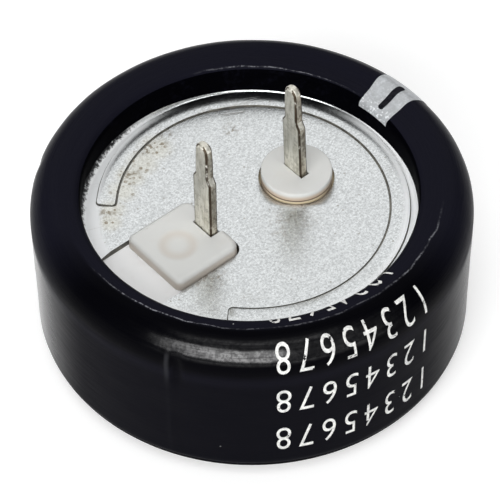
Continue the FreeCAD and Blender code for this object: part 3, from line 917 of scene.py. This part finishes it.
def digit_ink(s):
    """White ink with small gaps worn into it."""
    f = Finish("white_ink")
    grain = f.grain(9.0)
    edge = f.plus(0.36, f.times(f.patches(1.6, 0.6), 0.05))
    f.link(f.ranged(grain, f.minus(edge, 0.02), f.plus(edge, 0.02)), "Alpha")
    colour = f.blend(f.ranged(grain, 0.42, 0.6, 0.7, 0.0), s.colour, (0.46, 0.46, 0.46))
    return f.done(colour, f.even(grain, 0.34, 0.55))


def silver_ink(s):
    """Silver ink, with a speckled highlight painted where it turns into the recess."""
    f = Finish("silver_ink", Metallic=0.35)
    grain = f.grain(9.0)
    painted_glint = f.times(f.ranged(f.noise(8.0, 2.0), 0.52, 0.66), f.ranged(f.run(), 0.7, 1.5, 1.0, 0.2))
    colour = f.blend(f.ranged(grain, 0.42, 0.6, 0.6, 0.0), s.patch_colour, (0.36, 0.37, 0.38))
    colour = f.blend(painted_glint, colour, (0.86, 0.88, 0.90))
    return f.done(colour, f.even(grain, 0.34, 0.55))


def bar_ink(s):
    f = Finish("dark_ink", IOR=1.06)
    grain = f.grain(9.0)
    colour = f.blend(f.ranged(grain, 0.42, 0.6, 0.7, 0.0), s.bar_colour, (0.02, 0.02, 0.024))
    return f.done(colour, f.even(grain, 0.34, 0.55))


# Pieces


class SUPERCAP_OT_film(bpy.types.Operator):
    """Shrunk film over the can, turned in at both ends"""

    bl_idname = "supercap.film"
    bl_label = "Film"

    def execute(self, context):
        s = context.scene.supercap_film
        film = Film(s)
        inner_r = film.radius - film.wall
        top = film.height - film.wall
        heel = mm(s.heel)
        foot = film.radius - heel - mm(s.foot)
        bm = bmesh.new()
        wire(bm, [
            (foot, 0.0, 0.0), (film.radius, 0.0, heel), (film.radius, film.height, film.shoulder),
            (film.lip_r, film.height, film.roll), (film.lip_r, film.edge_z, 0.0),
            (film.lip_r + film.wall, film.edge_z, 0.0), (film.lip_r + film.wall, top, film.roll - film.wall),
            (inner_r, top, film.shoulder - film.wall), (inner_r, film.wall, heel - film.wall),
            (foot, film.wall, 0.0),
        ])
        lip = [e for e in bm.edges if upright(e) and 0.2 < e.calc_length() < 0.8]
        bmesh.ops.subdivide_edges(bm, edges=lip, cuts=3)
        tall = [e for e in bm.edges if upright(e) and e.calc_length() > 2.0]
        bmesh.ops.subdivide_edges(bm, edges=tall, cuts=18)
        crest = [e for e in bm.edges if level(e, film.height) or level(e, top)]
        bmesh.ops.subdivide_edges(bm, edges=crest, cuts=4)
        run = bm.verts.layers.float.new("run")
        for vert in bm.verts:
            at = film.run_at(vert.co.x, vert.co.z)
            vert[run] = -1.0 if at is None else max(at, 0.0)
        spin(bm, 600)
        for vert in bm.verts:
            around = math.atan2(vert.co.y, vert.co.x)
            inside = math.hypot(vert.co.x, vert.co.y) < film.crest_r and vert.co.z > 1.0
            low = 1.0 - smooth(film.edge_z, film.roll_z + 0.2, vert.co.z)
            if vert[run] >= 0.0:
                vert.co = film.point(vert[run], around, 0.0)
            elif vert.co.z > 1.0:
                vert.co = film.seat(vert.co)
            if inside:
                ring = (1.6 * math.cos(around), 1.6 * math.sin(around), 0.0)
                wander = noise.noise(ring) + 0.4 * noise.noise([3.1 * c for c in ring])
                vert.co.z += low * mm(s.wave) * wander
        for f in bm.faces:
            # The lip's faces take the finish with painted shade.
            f.material_index = int(max(v[run] for v in f.verts) < film.lip + 0.25)
        finish_piece(bm, "sleeve_film", [film_finish(s), lip_finish(s)], ["sleeve"], sharp=50.0)
        return {"FINISHED"}


class SUPERCAP_OT_can(bpy.types.Operator):
    """Drawn can with its edge rolled in over the dish"""

    bl_idname = "supercap.can"
    bl_label = "Can"

    def execute(self, context):
        s = context.scene.supercap_film
        m = context.scene.supercap_metal
        film = Film(s)
        out = mm(CAN_HIGH.x)
        top = mm(CAN_HIGH.z)
        low = mm(CAN_LOW.z)
        wall = mm(m.can_wall)
        roll = mm(m.can_roll)
        roll_r = film.crest_r - roll
        end = mm(m.dish_top)
        heel = mm(s.heel) - film.wall
        shoulder = film.shoulder - film.wall
        bm = turned([
            (0.0, low, 0.0), (out, low, heel), (out, top, shoulder), (roll_r, top, roll), (roll_r, end, 0.0),
            (roll_r + wall, end, 0.0), (roll_r + wall, top - wall, roll - wall),
            (out - wall, top - wall, shoulder - wall), (out - wall, low + wall, heel - wall),
            (0.0, low + wall, 0.0),
        ], 160, closed=False)
        for vert in bm.verts:
            vert.co = film.seat(vert.co)
        finish_piece(bm, "can_shell", [steel_finish(m)], ["case"])
        return {"FINISHED"}


def bent_pin(m, pin_x, plate_z, tip_z, root_side, lean):
    """Strip that leaves its plate, bends upwards and narrows to a rounded end."""
    sheet = mm(m.sheet)
    width = mm(m.pin_width)
    tip = mm(m.tip_width)
    bend = mm(m.pin_bend)
    bend_x = pin_x + root_side * (sheet / 2 + bend)
    bend_z = plate_z + sheet + bend
    step_z = tip_z - mm(m.tip_length)
    bm = bmesh.new()
    facing = Matrix.Rotation(math.pi / 2, 4, "Y")
    root = 0.25
    place = Matrix.Translation((bend_x + root_side * root, 0, plate_z + sheet / 2)) @ facing
    bmesh.ops.create_grid(
        bm, x_segments=1, y_segments=1, size=0.5, matrix=place @ Matrix.Diagonal((sheet, width, 1, 1))
    )

    def grow(move):
        """Extrudes the end of the strip."""
        face = [f for f in bm.faces if f.select][0]
        made = bmesh.ops.extrude_face_region(bm, geom=[face])["geom"]
        bmesh.ops.delete(bm, geom=[face], context="FACES_ONLY")
        face = [g for g in made if isinstance(g, bmesh.types.BMFace)][0]
        bmesh.ops.translate(bm, vec=move, verts=face.verts[:])
        face.select = True
        return face

    first = bm.faces[:][0]
    bmesh.ops.duplicate(bm, geom=[first])
    for f in bm.faces:
        f.select = False
    first.select = True
    grow(Vector((-root_side * root, 0, 0)))
    bend_step = Matrix.Rotation(root_side * math.pi / 16, 3, "Y")
    for _ in range(8):
        face = grow(Vector((0, 0, 0)))
        bmesh.ops.rotate(bm, cent=(bend_x, 0, bend_z), matrix=bend_step, verts=face.verts[:])
    for z in [bend_z + (step_z - bend_z) * k / 6 for k in range(1, 7)]:
        face = grow(Vector((0, 0, 0)))
        bmesh.ops.translate(bm, vec=(0, 0, z - face.calc_center_median().z), verts=face.verts[:])
    face = grow(Vector((0, 0, mm(m.tip_slope))))
    bmesh.ops.scale(bm, vec=(1, tip / width, 1), verts=face.verts[:])
    grow(Vector((0, 0, tip_z - step_z - mm(m.tip_slope))))
    bmesh.ops.remove_doubles(bm, verts=bm.verts[:], dist=1e-4)
    bmesh.ops.recalc_face_normals(bm, faces=bm.faces[:])
    corner = mm(m.tip_corner)
    across = [e for e in bm.edges if level(e, tip_z) and abs(e.verts[0].co.x - e.verts[1].co.x) > 0.1]
    round_edges(bm, across, corner, 6)
    rim = [
        e for e in bm.edges
        if min(v.co.z for v in e.verts) > tip_z - corner - 1e-4
        and abs(e.verts[0].co.x - e.verts[1].co.x) < 1e-4
        and len(e.link_faces) == 2 and e.calc_face_angle() > 0.5
    ]
    round_edges(bm, rim, mm(m.tip_edge), 4)
    keen = [
        e for e in bm.edges
        if len(e.link_faces) == 2 and e.calc_face_angle() > 0.9
        and min(v.co.z for v in e.verts) > bend_z - 1e-4
        and max(v.co.z for v in e.verts) < tip_z - corner + 1e-3
    ]
    bmesh.ops.bevel(
        bm, geom=keen, offset=mm(m.torn_edge), offset_type="OFFSET", segments=2, profile=0.5, affect="EDGES",
        clamp_overlap=False, material=-1,
    )
    for vert in bm.verts:
        share = max(vert.co.z - bend_z, 0.0) / (tip_z - bend_z)
        vert.co.x += lean[0] * share
        vert.co.y += lean[1] * share
    return bm


def pin_side(normal):
    """Finish of a pin's face: flat, sheared edge or torn corner."""
    if abs(normal.x) > 0.3 and abs(normal.y) > 0.3:
        return PIN_TORN
    if abs(normal.y) > 0.5 and normal.z <= 0.25:
        return PIN_CUT
    return PIN_FLAT


def bead_band(m, grow_in, grow_out, grow_ends, low_z, high_z, tilt, corner):
    """C-shaped band with rounded corners, open around the slot; its top slopes down towards the axis."""
    outer = mm(m.bead_radius) + grow_out
    inner = mm(m.bead_radius) - mm(m.bead_width) - grow_in
    middle, half = (inner + outer) / 2, (outer - inner) / 2
    bm = bmesh.new()
    wire(bm, [
        (inner, low_z, 0.0), (outer, low_z, 0.0), (outer, high_z, 0.0), (inner, high_z - tilt, 0.0),
    ])
    straight = 0.6
    sweep = 2 * math.pi - m.bead_gap + 2 * (grow_ends - straight / middle)
    bmesh.ops.rotate(bm, cent=(0, 0, 0), matrix=Matrix.Rotation(-sweep / 2, 3, "Z"), verts=bm.verts[:])
    spin(bm, 200, sweep)
    for sign in (-1, 1):
        end = Vector((math.cos(sweep / 2), sign * math.sin(sweep / 2), 0.0)) * middle
        ahead = Vector((-end.y, end.x, 0.0)).normalized() * sign
        caps = [
            f for f in bm.faces
            if f.normal.dot(ahead) > 0.99 and (f.calc_center_median().xy - end.xy).length < half
        ]
        made = bmesh.ops.extrude_face_region(bm, geom=caps)["geom"]
        bmesh.ops.delete(bm, geom=caps, context="FACES_ONLY")
        moved = [g for g in made if isinstance(g, bmesh.types.BMVert)]
        bmesh.ops.translate(bm, vec=ahead * straight, verts=moved)
    bmesh.ops.recalc_face_normals(bm, faces=bm.faces[:])
    corners = [e for e in bm.edges if upright(e) and len(e.link_faces) == 2 and e.calc_face_angle() > 0.8]
    round_edges(bm, corners, corner, 6)
    bmesh.ops.translate(bm, vec=(mm(m.bead_side), 0, 0), verts=bm.verts[:])
    return bm


class SUPERCAP_OT_end_plate(bpy.types.Operator):
    """Dish with its raised bead, slot, hole and bent-up pin"""

    bl_idname = "supercap.end_plate"
    bl_label = "End plate"

    def execute(self, context):
        m = context.scene.supercap_metal
        c = context.scene.supercap_collar
        low = mm(PLATE_LOW.z)
        sheet = mm(m.sheet)
        face = low + sheet
        dish = mm(m.dish_radius)
        fillet = mm(m.dish_fillet)
        top = mm(m.dish_top)
        flat = mm(m.dish_flat)
        slope_top = face + m.dish_slope * (dish - flat)
        behind = 0.25
        plate = turned([
            (0.0, low, 0.0), (flat + behind, low, 0.2), (dish + sheet, slope_top - behind, 0.1),
            (dish + sheet, top, 0.0), (dish, top, 0.02), (dish, slope_top, 0.02), (flat, face, fillet),
            (flat - 0.2, face, 0.0), (0.0, face, 0.0),
        ], 256, closed=False)
        top_z = face + mm(m.bead_height)
        groove = bead_band(
            m, grow_in=0.09, grow_out=0.04, grow_ends=0.007, low_z=face - mm(m.groove_depth),
            high_z=face + 1.0, tilt=0.0, corner=0.2,
        )
        bead = bead_band(
            m, grow_in=0.0, grow_out=0.0, grow_ends=0.0, low_z=face - sheet / 2, high_z=top_z,
            tilt=mm(m.bead_tilt), corner=0.16,
        )
        rim = [e for e in bead.edges if e.calc_face_angle() > 0.8 and min(v.co.z for v in e.verts) > face]
        round_edges(bead, rim, mm(m.bead_edge), 2)
        plate = combine(plate, groove, "DIFFERENCE")
        plate = combine(plate, bead, "UNION")
        pin_x = -mm(m.pin_pitch) / 2
        slot_end = pin_x + sheet / 2 + mm(m.pin_bend)
        slot = slab(-PAST, slot_end, mm(m.slot_width), low - 1.0, PAST)
        bmesh.ops.translate(slot, vec=(0, mm(m.slot_side), 0), verts=slot.verts[:])
        inner = [e for e in slot.edges if upright(e) and e.verts[0].co.x > -5]
        round_edges(slot, inner, mm(m.slot_corner), 7)
        plate = combine(plate, slot, "DIFFERENCE")
        hole_r = mm(c.bush_radius) + mm(c.bush_play)
        hole = bmesh.new()
        bmesh.ops.create_cone(
            hole, cap_ends=True, segments=96, radius1=hole_r, radius2=hole_r, depth=2.0,
            matrix=Matrix.Translation((-pin_x, 0, face)),
        )
        plate = combine(plate, hole, "DIFFERENCE")

        def off_hole(at):
            return abs(math.hypot(at.x + pin_x, at.y) - hole_r)

        hole_rim = [e for e in plate.edges if level(e, face) and all(off_hole(v.co) < 0.01 for v in e.verts)]
        round_edges(plate, hole_rim, mm(m.hole_edge), 3)
        pin = bent_pin(m, pin_x, low, mm(PLATE_HIGH.z), 1, (0.0, 0.0))
        plate = combine(plate, pin, "UNION")
        for f in plate.faces:
            at = f.calc_center_median()
            r = math.hypot(at.x, at.y)
            if at.z > face + 0.1 and r < 5.0 and at.x < slot_end and abs(at.y) < 0.7:
                f.material_index = pin_side(f.normal)
            # Faces of the groove and the bead's sides take the line finish with painted shade.
            elif 5.6 < r < 6.9 and face - 0.07 < at.z < face + (-0.003 if f.normal.z > 0.5 else 0.1):
                f.material_index = BEAD_LINE
            elif abs(at.z - face) < 0.08 and f.normal.z < 0.99 and off_hole(at) < 0.08:
                f.material_index = HOLE_EDGE
        film = Film(context.scene.supercap_film)
        for vert in plate.verts:
            vert.co = film.settle(vert.co, dish=True)
        materials = [
            sheet_finish(m), pin_finish(m), shear_finish(m), burr_finish(m), line_finish(m), hole_finish(m),
        ]
        finish_piece(plate, "end_plate", materials, ["outer_terminal_plate"], flat=True)
        return {"FINISHED"}


class SUPERCAP_OT_collar(bpy.types.Operator):
    """White moulding with the strip, block and bush that show"""

    bl_idname = "supercap.collar"
    bl_label = "Collar"

    def execute(self, context):
        m = context.scene.supercap_metal
        c = context.scene.supercap_collar
        sheet = mm(m.sheet)
        plate_low = mm(PLATE_LOW.z)
        face = plate_low + sheet
        low = mm(COLLAR_LOW.z)
        floor = plate_low - mm(c.floor)
        play = 0.05
        root = plate_low - 0.1
        out = mm(c.radius)
        rim = mm(PLATE_HIGH.x) + play
        rim_top = plate_low + 0.9
        skirt = out - 0.5
        body = turned([
            (0.0, floor, 0.0), (skirt, floor, 0.0), (skirt, low, 0.0), (out, low, 0.1), (out, rim_top, 0.45),
            (rim, rim_top, 0.0), (rim, plate_low, 0.0), (0.0, plate_low, 0.0),
        ], 128, closed=False)
        pin_x = -mm(m.pin_pitch) / 2
        slot_end = pin_x + sheet / 2 + mm(m.pin_bend)
        end = slot_end - mm(c.block_gap)
        start = end - mm(c.block_length)
        width = mm(m.slot_width) - 2 * play
        top = face + mm(c.block_rise)
        side = (0, mm(m.slot_side), 0)
        strip_top = face - mm(c.strip_sink)
        strip = slab(-(rim + play), start + 0.6, width, root, strip_top)
        bmesh.ops.translate(strip, vec=side, verts=strip.verts[:])
        round_edges(strip, [e for e in strip.edges if level(e, strip_top)], 0.05, 2)
        body = combine(body, strip, "UNION")
        block = slab(start, end, width, root, top)
        by_pin = [e for e in block.edges if upright(e) and e.verts[0].co.x > pin_x]
        round_edges(block, by_pin, mm(c.block_corner), 7)
        by_rim = [e for e in block.edges if upright(e) and e.verts[0].co.x < start + 1e-4]
        round_edges(block, by_rim, mm(c.block_rim_corner), 7)
        draft = mm(c.block_draft)
        lid = [v for v in block.verts if v.co.z > face]
        bmesh.ops.scale(
            block, vec=(1 - 2 * draft / (end - start), 1 - 2 * draft / width, 1),
            space=Matrix.Translation((-(start + end) / 2, 0, 0)), verts=lid,
        )
        round_edges(block, [e for e in block.edges if level(e, top)], mm(c.block_edge), 4)
        bmesh.ops.translate(block, vec=side, verts=block.verts[:])
        pin = mm(m.pin_width)
        notch = slab(pin_x - sheet / 2 - play, end + 1.0, pin + 2 * play, plate_low, top + 1.0)
        block = combine(block, notch, "DIFFERENCE")
        half = mm(c.mark_radius)
        depth = mm(c.mark_depth)
        ball = (half ** 2 + depth ** 2) / (2 * depth)
        reach = math.asin(half * 1.25 / ball)
        turns = [reach * k / 10 for k in range(11)]
        bowl = [(ball * math.sin(a), ball * (1 - math.cos(a)), 0.0) for a in turns]
        dip = turned(bowl + [(0.0, bowl[-1][1], 0.0)], 72, closed=False)
        mark_x = (start + pin_x - sheet / 2) / 2
        bmesh.ops.translate(dip, vec=(mark_x, 0, top - depth), verts=dip.verts[:])
        block = combine(block, dip, "DIFFERENCE")
        body = combine(body, block, "UNION")
        r = mm(c.bush_radius)
        crown = face + mm(c.bush_rise)
        bush = turned([
            (0.0, root, 0.0), (r, root, 0.0), (r, crown - 0.02, 0.07), (r * 0.6, crown - 0.005, 0.0),
            (0.0, crown, 0.0),
        ], 128, closed=False)
        bmesh.ops.translate(bush, vec=(-pin_x, 0, 0), verts=bush.verts[:])
        body = combine(body, bush, "UNION")
        left, right = -pin_x - sheet / 2, -pin_x + sheet / 2
        bend = mm(m.pin_bend)
        close = 0.04
        way = slab(left - close, right + close, pin + 2 * close, low - 1.0, top + 1.0)
        body = combine(body, way, "DIFFERENCE")
        relief = slab(left - bend - play, right + play, pin + 2 * play, low - 1.0, floor + bend + play)
        body = combine(body, relief, "DIFFERENCE")
        film = Film(context.scene.supercap_film)
        for vert in body.verts:
            if math.hypot(vert.co.x, vert.co.y) > rim - 0.01:
                vert.co = film.settle(vert.co, dish=True)
        finish_piece(body, "white_collar", [plastic_finish(c, m)], ["insulating_collar"], flat=True)
        return {"FINISHED"}


class SUPERCAP_OT_inner_terminal(bpy.types.Operator):
    """Hidden plate whose pin stands in the bush"""

    bl_idname = "supercap.inner_terminal"
    bl_label = "Inner terminal"

    def execute(self, context):
        m = context.scene.supercap_metal
        low = mm(INNER_LOW.z)
        sheet = mm(m.sheet)
        pin_x = mm(m.pin_pitch) / 2
        out = -mm(INNER_LOW.x)
        top = low + sheet
        corners = [(0.0, low, 0.0), (out, low, 0.04), (out, top, 0.04), (0.0, top, 0.0)]
        plate = turned(corners, 128, closed=False)
        lance = slab(pin_x - sheet / 2 - mm(m.pin_bend), PAST, mm(m.pin_width) + 0.4, 0.0, PAST)
        plate = combine(plate, lance, "DIFFERENCE")
        pin = bent_pin(m, pin_x, low, mm(INNER_HIGH.z), -1, (-0.08, 0.2))
        plate = combine(plate, pin, "UNION")
        for f in plate.faces:
            at = f.calc_center_median()
            if at.z > top + 0.1:
                f.material_index = pin_side(f.normal)
        materials = [sheet_finish(m), pin_finish(m), shear_finish(m), burr_finish(m)]
        nodes = ["inner_terminal_plate"]
        finish_piece(plate, "inner_terminal", materials, nodes, flat=True)
        return {"FINISHED"}


class SUPERCAP_OT_cells(bpy.types.Operator):
    """Finish of the stacked cells and of the liner around them"""

    bl_idname = "supercap.cells"
    bl_label = "Cells and liner"

    def execute(self, context):
        steel = steel_finish(context.scene.supercap_metal)
        liner = liner_finish(context.scene.supercap_collar)
        for name, material in (("cell_lower", steel), ("cell_upper", steel), ("case_liner", liner)):
            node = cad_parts[name]
            node.data.materials.clear()
            node.data.materials.append(material)
        return {"FINISHED"}


def flat_text(words, spacing, height, run_length):
    """Flat mesh of a row of digits, from 0 to its length along X and from 0 to its height along Y."""
    curve = bpy.data.curves.new("row", "FONT")
    curve.body = words
    curve.size = 1.0
    curve.resolution_u = 5
    curve.space_character = spacing
    curve.offset = -0.006
    obj = bpy.data.objects.new("row", curve)
    bpy.context.scene.collection.objects.link(obj)
    bpy.context.view_layer.update()
    graph = bpy.context.evaluated_depsgraph_get()
    mesh = bpy.data.meshes.new_from_object(obj.evaluated_get(graph), depsgraph=graph)
    bm = bmesh.new()
    bm.from_mesh(mesh)
    bpy.data.objects.remove(obj)
    bpy.data.curves.remove(curve)
    bpy.data.meshes.remove(mesh)
    xs = [v.co.x for v in bm.verts]
    ys = [v.co.y for v in bm.verts]
    bmesh.ops.translate(bm, vec=(-min(xs), -min(ys), 0), verts=bm.verts[:])
    bmesh.ops.scale(
        bm, vec=(run_length / (max(xs) - min(xs)), height / (max(ys) - min(ys)), 1), verts=bm.verts[:]
    )
    return bm


def slice_flat(bm, x_length, y_length, step):
    """Cuts a flat mesh into small pieces, so that it can follow a curved surface."""
    for axis, size in ((Vector((1, 0, 0)), x_length), (Vector((0, 1, 0)), y_length)):
        for k in range(1, int(size / step)):
            geom = bm.verts[:] + bm.edges[:] + bm.faces[:]
            bmesh.ops.bisect_plane(bm, geom=geom, plane_co=axis * (k * step), plane_no=axis, dist=1e-6)


class SUPERCAP_OT_digits(bpy.types.Operator):
    """Rows of plain counting digits printed on the film"""

    bl_idname = "supercap.digits"
    bl_label = "Printed digits"

    def execute(self, context):
        p = context.scene.supercap_print
        film = Film(context.scene.supercap_film)
        ink = mm(p.ink)
        tall = mm(p.digit_height)
        wide = mm(p.row_length)
        all_rows = bmesh.new()
        for row in range(p.rows):
            bm = flat_text(p.digits, p.spacing, tall, wide)
            slice_flat(bm, wide, tall, 0.16)
            first = mm(p.row_start) + row * mm(p.row_pitch) - tall / 2
            for vert in bm.verts:
                vert.co = film.point(first + vert.co.y, p.row_turn - vert.co.x / film.radius, ink)
            mesh = bpy.data.meshes.new("row")
            bm.to_mesh(mesh)
            bm.free()
            all_rows.from_mesh(mesh)
            bpy.data.meshes.remove(mesh)
        bmesh.ops.remove_doubles(all_rows, verts=all_rows.verts[:], dist=1e-4)
        finish_piece(all_rows, "printed_digits", [digit_ink(p)])
        return {"FINISHED"}


class SUPERCAP_OT_patch(bpy.types.Operator):
    """Silver polarity patch with a plain dark bar"""

    bl_idname = "supercap.patch"
    bl_label = "Polarity patch"

    def execute(self, context):
        p = context.scene.supercap_print
        film = Film(context.scene.supercap_film)
        ink = mm(p.ink)
        end_run = film.crest_run + p.patch_end * film.shoulder * math.pi / 2
        bm = bmesh.new()
        bmesh.ops.create_grid(bm, x_segments=60, y_segments=32, size=0.5)
        run = bm.verts.layers.float.new("run")
        for vert in bm.verts:
            u, v = vert.co.x + 0.5, vert.co.y
            vert[run] = mm(p.patch_start) + u * (end_run - mm(p.patch_start))
            vert.co = film.point(vert[run], p.patch_turn + v * p.patch_width, ink)
        bmesh.ops.recalc_face_normals(bm, faces=bm.faces[:])
        finish_piece(bm, "polarity_patch", [silver_ink(p)])
        long, wide = mm(p.bar_length), mm(p.bar_width)
        bar = bmesh.new()
        place = Matrix.Translation((long / 2, wide / 2, 0.0)) @ Matrix.Diagonal((long, wide, 1.0, 1.0))
        bmesh.ops.create_grid(bar, x_segments=1, y_segments=1, size=0.5, matrix=place)
        bmesh.ops.bevel(
            bar, geom=bar.verts[:], offset=0.48 * wide, offset_type="OFFSET", segments=5, profile=0.5,
            affect="VERTICES", material=-1,
        )
        slice_flat(bar, long, wide, 0.08)
        for vert in bar.verts:
            around = p.patch_turn - p.bar_side + (vert.co.y - wide / 2) / film.crest_r
            vert.co = film.point(mm(p.bar_start) + vert.co.x, around, 2 * ink)
        bmesh.ops.recalc_face_normals(bar, faces=bar.faces[:])
        finish_piece(bar, "polarity_bar", [bar_ink(p)])
        return {"FINISHED"}


def lamp(name, at, size, power, aim):
    """Soft rectangular lamp that faces a point."""
    data = bpy.data.lights.new(name, "AREA")
    data.shape = "RECTANGLE"
    data.size, data.size_y = size
    data.energy = power
    obj = bpy.data.objects.new(name, data)
    obj.location = at
    obj.rotation_euler = (Vector(aim) - Vector(at)).to_track_quat("-Z", "Y").to_euler()
    bpy.context.scene.collection.objects.link(obj)


class SUPERCAP_OT_stage(bpy.types.Operator):
    """Pale floor, soft light and camera"""

    bl_idname = "supercap.stage"
    bl_label = "Stage"

    def execute(self, context):
        s = context.scene.supercap_stage
        scene = context.scene
        bm = bmesh.new()
        bmesh.ops.create_grid(bm, x_segments=1, y_segments=1, size=1.5)
        mesh = bpy.data.meshes.new("floor")
        bm.to_mesh(mesh)
        bm.free()
        floor = bpy.data.objects.new("floor", mesh)
        scene.collection.objects.link(floor)
        pale = bpy.data.materials.new("pale_floor")
        pale.use_nodes = True
        t = pale.node_tree
        t.nodes.remove(t.nodes["Principled BSDF"])
        # The floor is brighter to the eye and in mirrors than the light that it throws back.
        matt = put(t, "ShaderNodeBsdfDiffuse", {"Color": rgba(s.floor_colour)})
        ray = put(t, "ShaderNodeLightPath").outputs
        seen = math_of(t, "MAXIMUM", ray["Is Camera Ray"], ray["Is Glossy Ray"])
        seen = math_of(t, "MAXIMUM", seen, ray["Is Transmission Ray"])
        glow = put(t, "ShaderNodeEmission", {"Strength": math_of(t, "MULTIPLY", seen, s.floor_lift)})
        both = put(t, "ShaderNodeAddShader", {0: matt.outputs[0], 1: glow.outputs[0]})
        t.links.new(both.outputs[0], t.nodes["Material Output"].inputs["Surface"])
        mesh.materials.append(pale)

        world = bpy.data.worlds.new("room")
        world.use_nodes = True
        world.node_tree.nodes["Background"].inputs["Color"].default_value = (1.0, 1.0, 1.0, 1.0)
        world.node_tree.nodes["Background"].inputs["Strength"].default_value = s.world
        scene.world = world

        a, e = s.azimuth, s.elevation
        back = Vector((math.sin(a) * math.cos(e), -math.cos(a) * math.cos(e), math.sin(e)))
        right = Vector((math.cos(a), math.sin(a), 0.0))
        up = back.cross(right)
        level_right = right * math.cos(s.roll) + up * math.sin(s.roll)
        level_up = back.cross(level_right)
        middle = Vector((0.0, 0.0, s.aim))
        eye = middle + back * s.distance
        aim = middle + level_right * s.slide_right + level_up * s.slide_up
        away = (eye - aim).normalized()
        side = level_up.cross(away).normalized()
        turned_up = away.cross(side)
        camera = bpy.data.cameras.new("camera")
        camera.sensor_fit = "HORIZONTAL"
        camera.sensor_width = 36.0
        camera.lens = s.lens
        camera.clip_start = 0.001
        camera.clip_end = 10.0
        obj = bpy.data.objects.new("camera", camera)
        obj.matrix_world = Matrix.Translation(eye) @ Matrix((side, turned_up, away)).transposed().to_4x4()
        scene.collection.objects.link(obj)
        scene.camera = obj

        flat_back = Vector((back.x, back.y, 0.0)).normalized()

        def toward(turn_from_camera, height):
            """Direction given in degrees from the camera's side and above the floor."""
            spun = Matrix.Rotation(math.radians(turn_from_camera), 3, "Z") @ flat_back
            h = math.radians(height)
            return spun * math.cos(h) + Vector((0, 0, math.sin(h)))

        lamp("back_lamp", toward(180, 52) * 0.7 + middle, (1.1, 0.8), s.back_light, middle)
        lamp("top_lamp", toward(0, 76) * 0.5 + middle, (0.4, 0.22), s.top_light, middle)
        lamp("front_lamp", toward(-18, 27) * 0.45 + middle, (0.46, 0.3), s.front_light, middle)

        scene.view_settings.view_transform = "Standard"
        return {"FINISHED"}


class SUPERCAP_PT_panel(bpy.types.Panel):
    """Pieces of the part and its stage"""

    bl_idname = "SUPERCAP_PT_panel"
    bl_label = "Supercapacitor"
    bl_space_type = "VIEW_3D"
    bl_region_type = "UI"
    bl_category = "Supercapacitor"

    def draw(self, context):
        for name, _ in SETTINGS:
            box = self.layout.box()
            group = getattr(context.scene, name)
            for key in group.bl_rna.properties.keys():
                if key not in ("rna_type", "name"):
                    box.prop(group, key)
        for operator in OPERATORS:
            self.layout.operator(operator.bl_idname)


SETTINGS = (
    ("supercap_film", FilmSettings),
    ("supercap_metal", MetalSettings),
    ("supercap_collar", CollarSettings),
    ("supercap_print", PrintSettings),
    ("supercap_stage", StageSettings),
)
OPERATORS = (
    SUPERCAP_OT_film,
    SUPERCAP_OT_can,
    SUPERCAP_OT_end_plate,
    SUPERCAP_OT_collar,
    SUPERCAP_OT_inner_terminal,
    SUPERCAP_OT_cells,
    SUPERCAP_OT_digits,
    SUPERCAP_OT_patch,
    SUPERCAP_OT_stage,
)


def register():
    for name, group in SETTINGS:
        bpy.utils.register_class(group)
        setattr(bpy.types.Scene, name, PointerProperty(type=group))
    for operator in OPERATORS:
        bpy.utils.register_class(operator)
    bpy.utils.register_class(SUPERCAP_PT_panel)


def unregister():
    bpy.utils.unregister_class(SUPERCAP_PT_panel)
    for operator in reversed(OPERATORS):
        bpy.utils.unregister_class(operator)
    for name, group in reversed(SETTINGS):
        delattr(bpy.types.Scene, name)
        bpy.utils.unregister_class(group)


def main():
    register()
    bpy.ops.supercap.film()
    bpy.ops.supercap.can()
    bpy.ops.supercap.end_plate()
    bpy.ops.supercap.collar()
    bpy.ops.supercap.inner_terminal()
    bpy.ops.supercap.cells()
    bpy.ops.supercap.digits()
    bpy.ops.supercap.patch()
    bpy.ops.supercap.stage()
    bpy.context.view_layer.update()


if __name__ == "__main__":
    main()
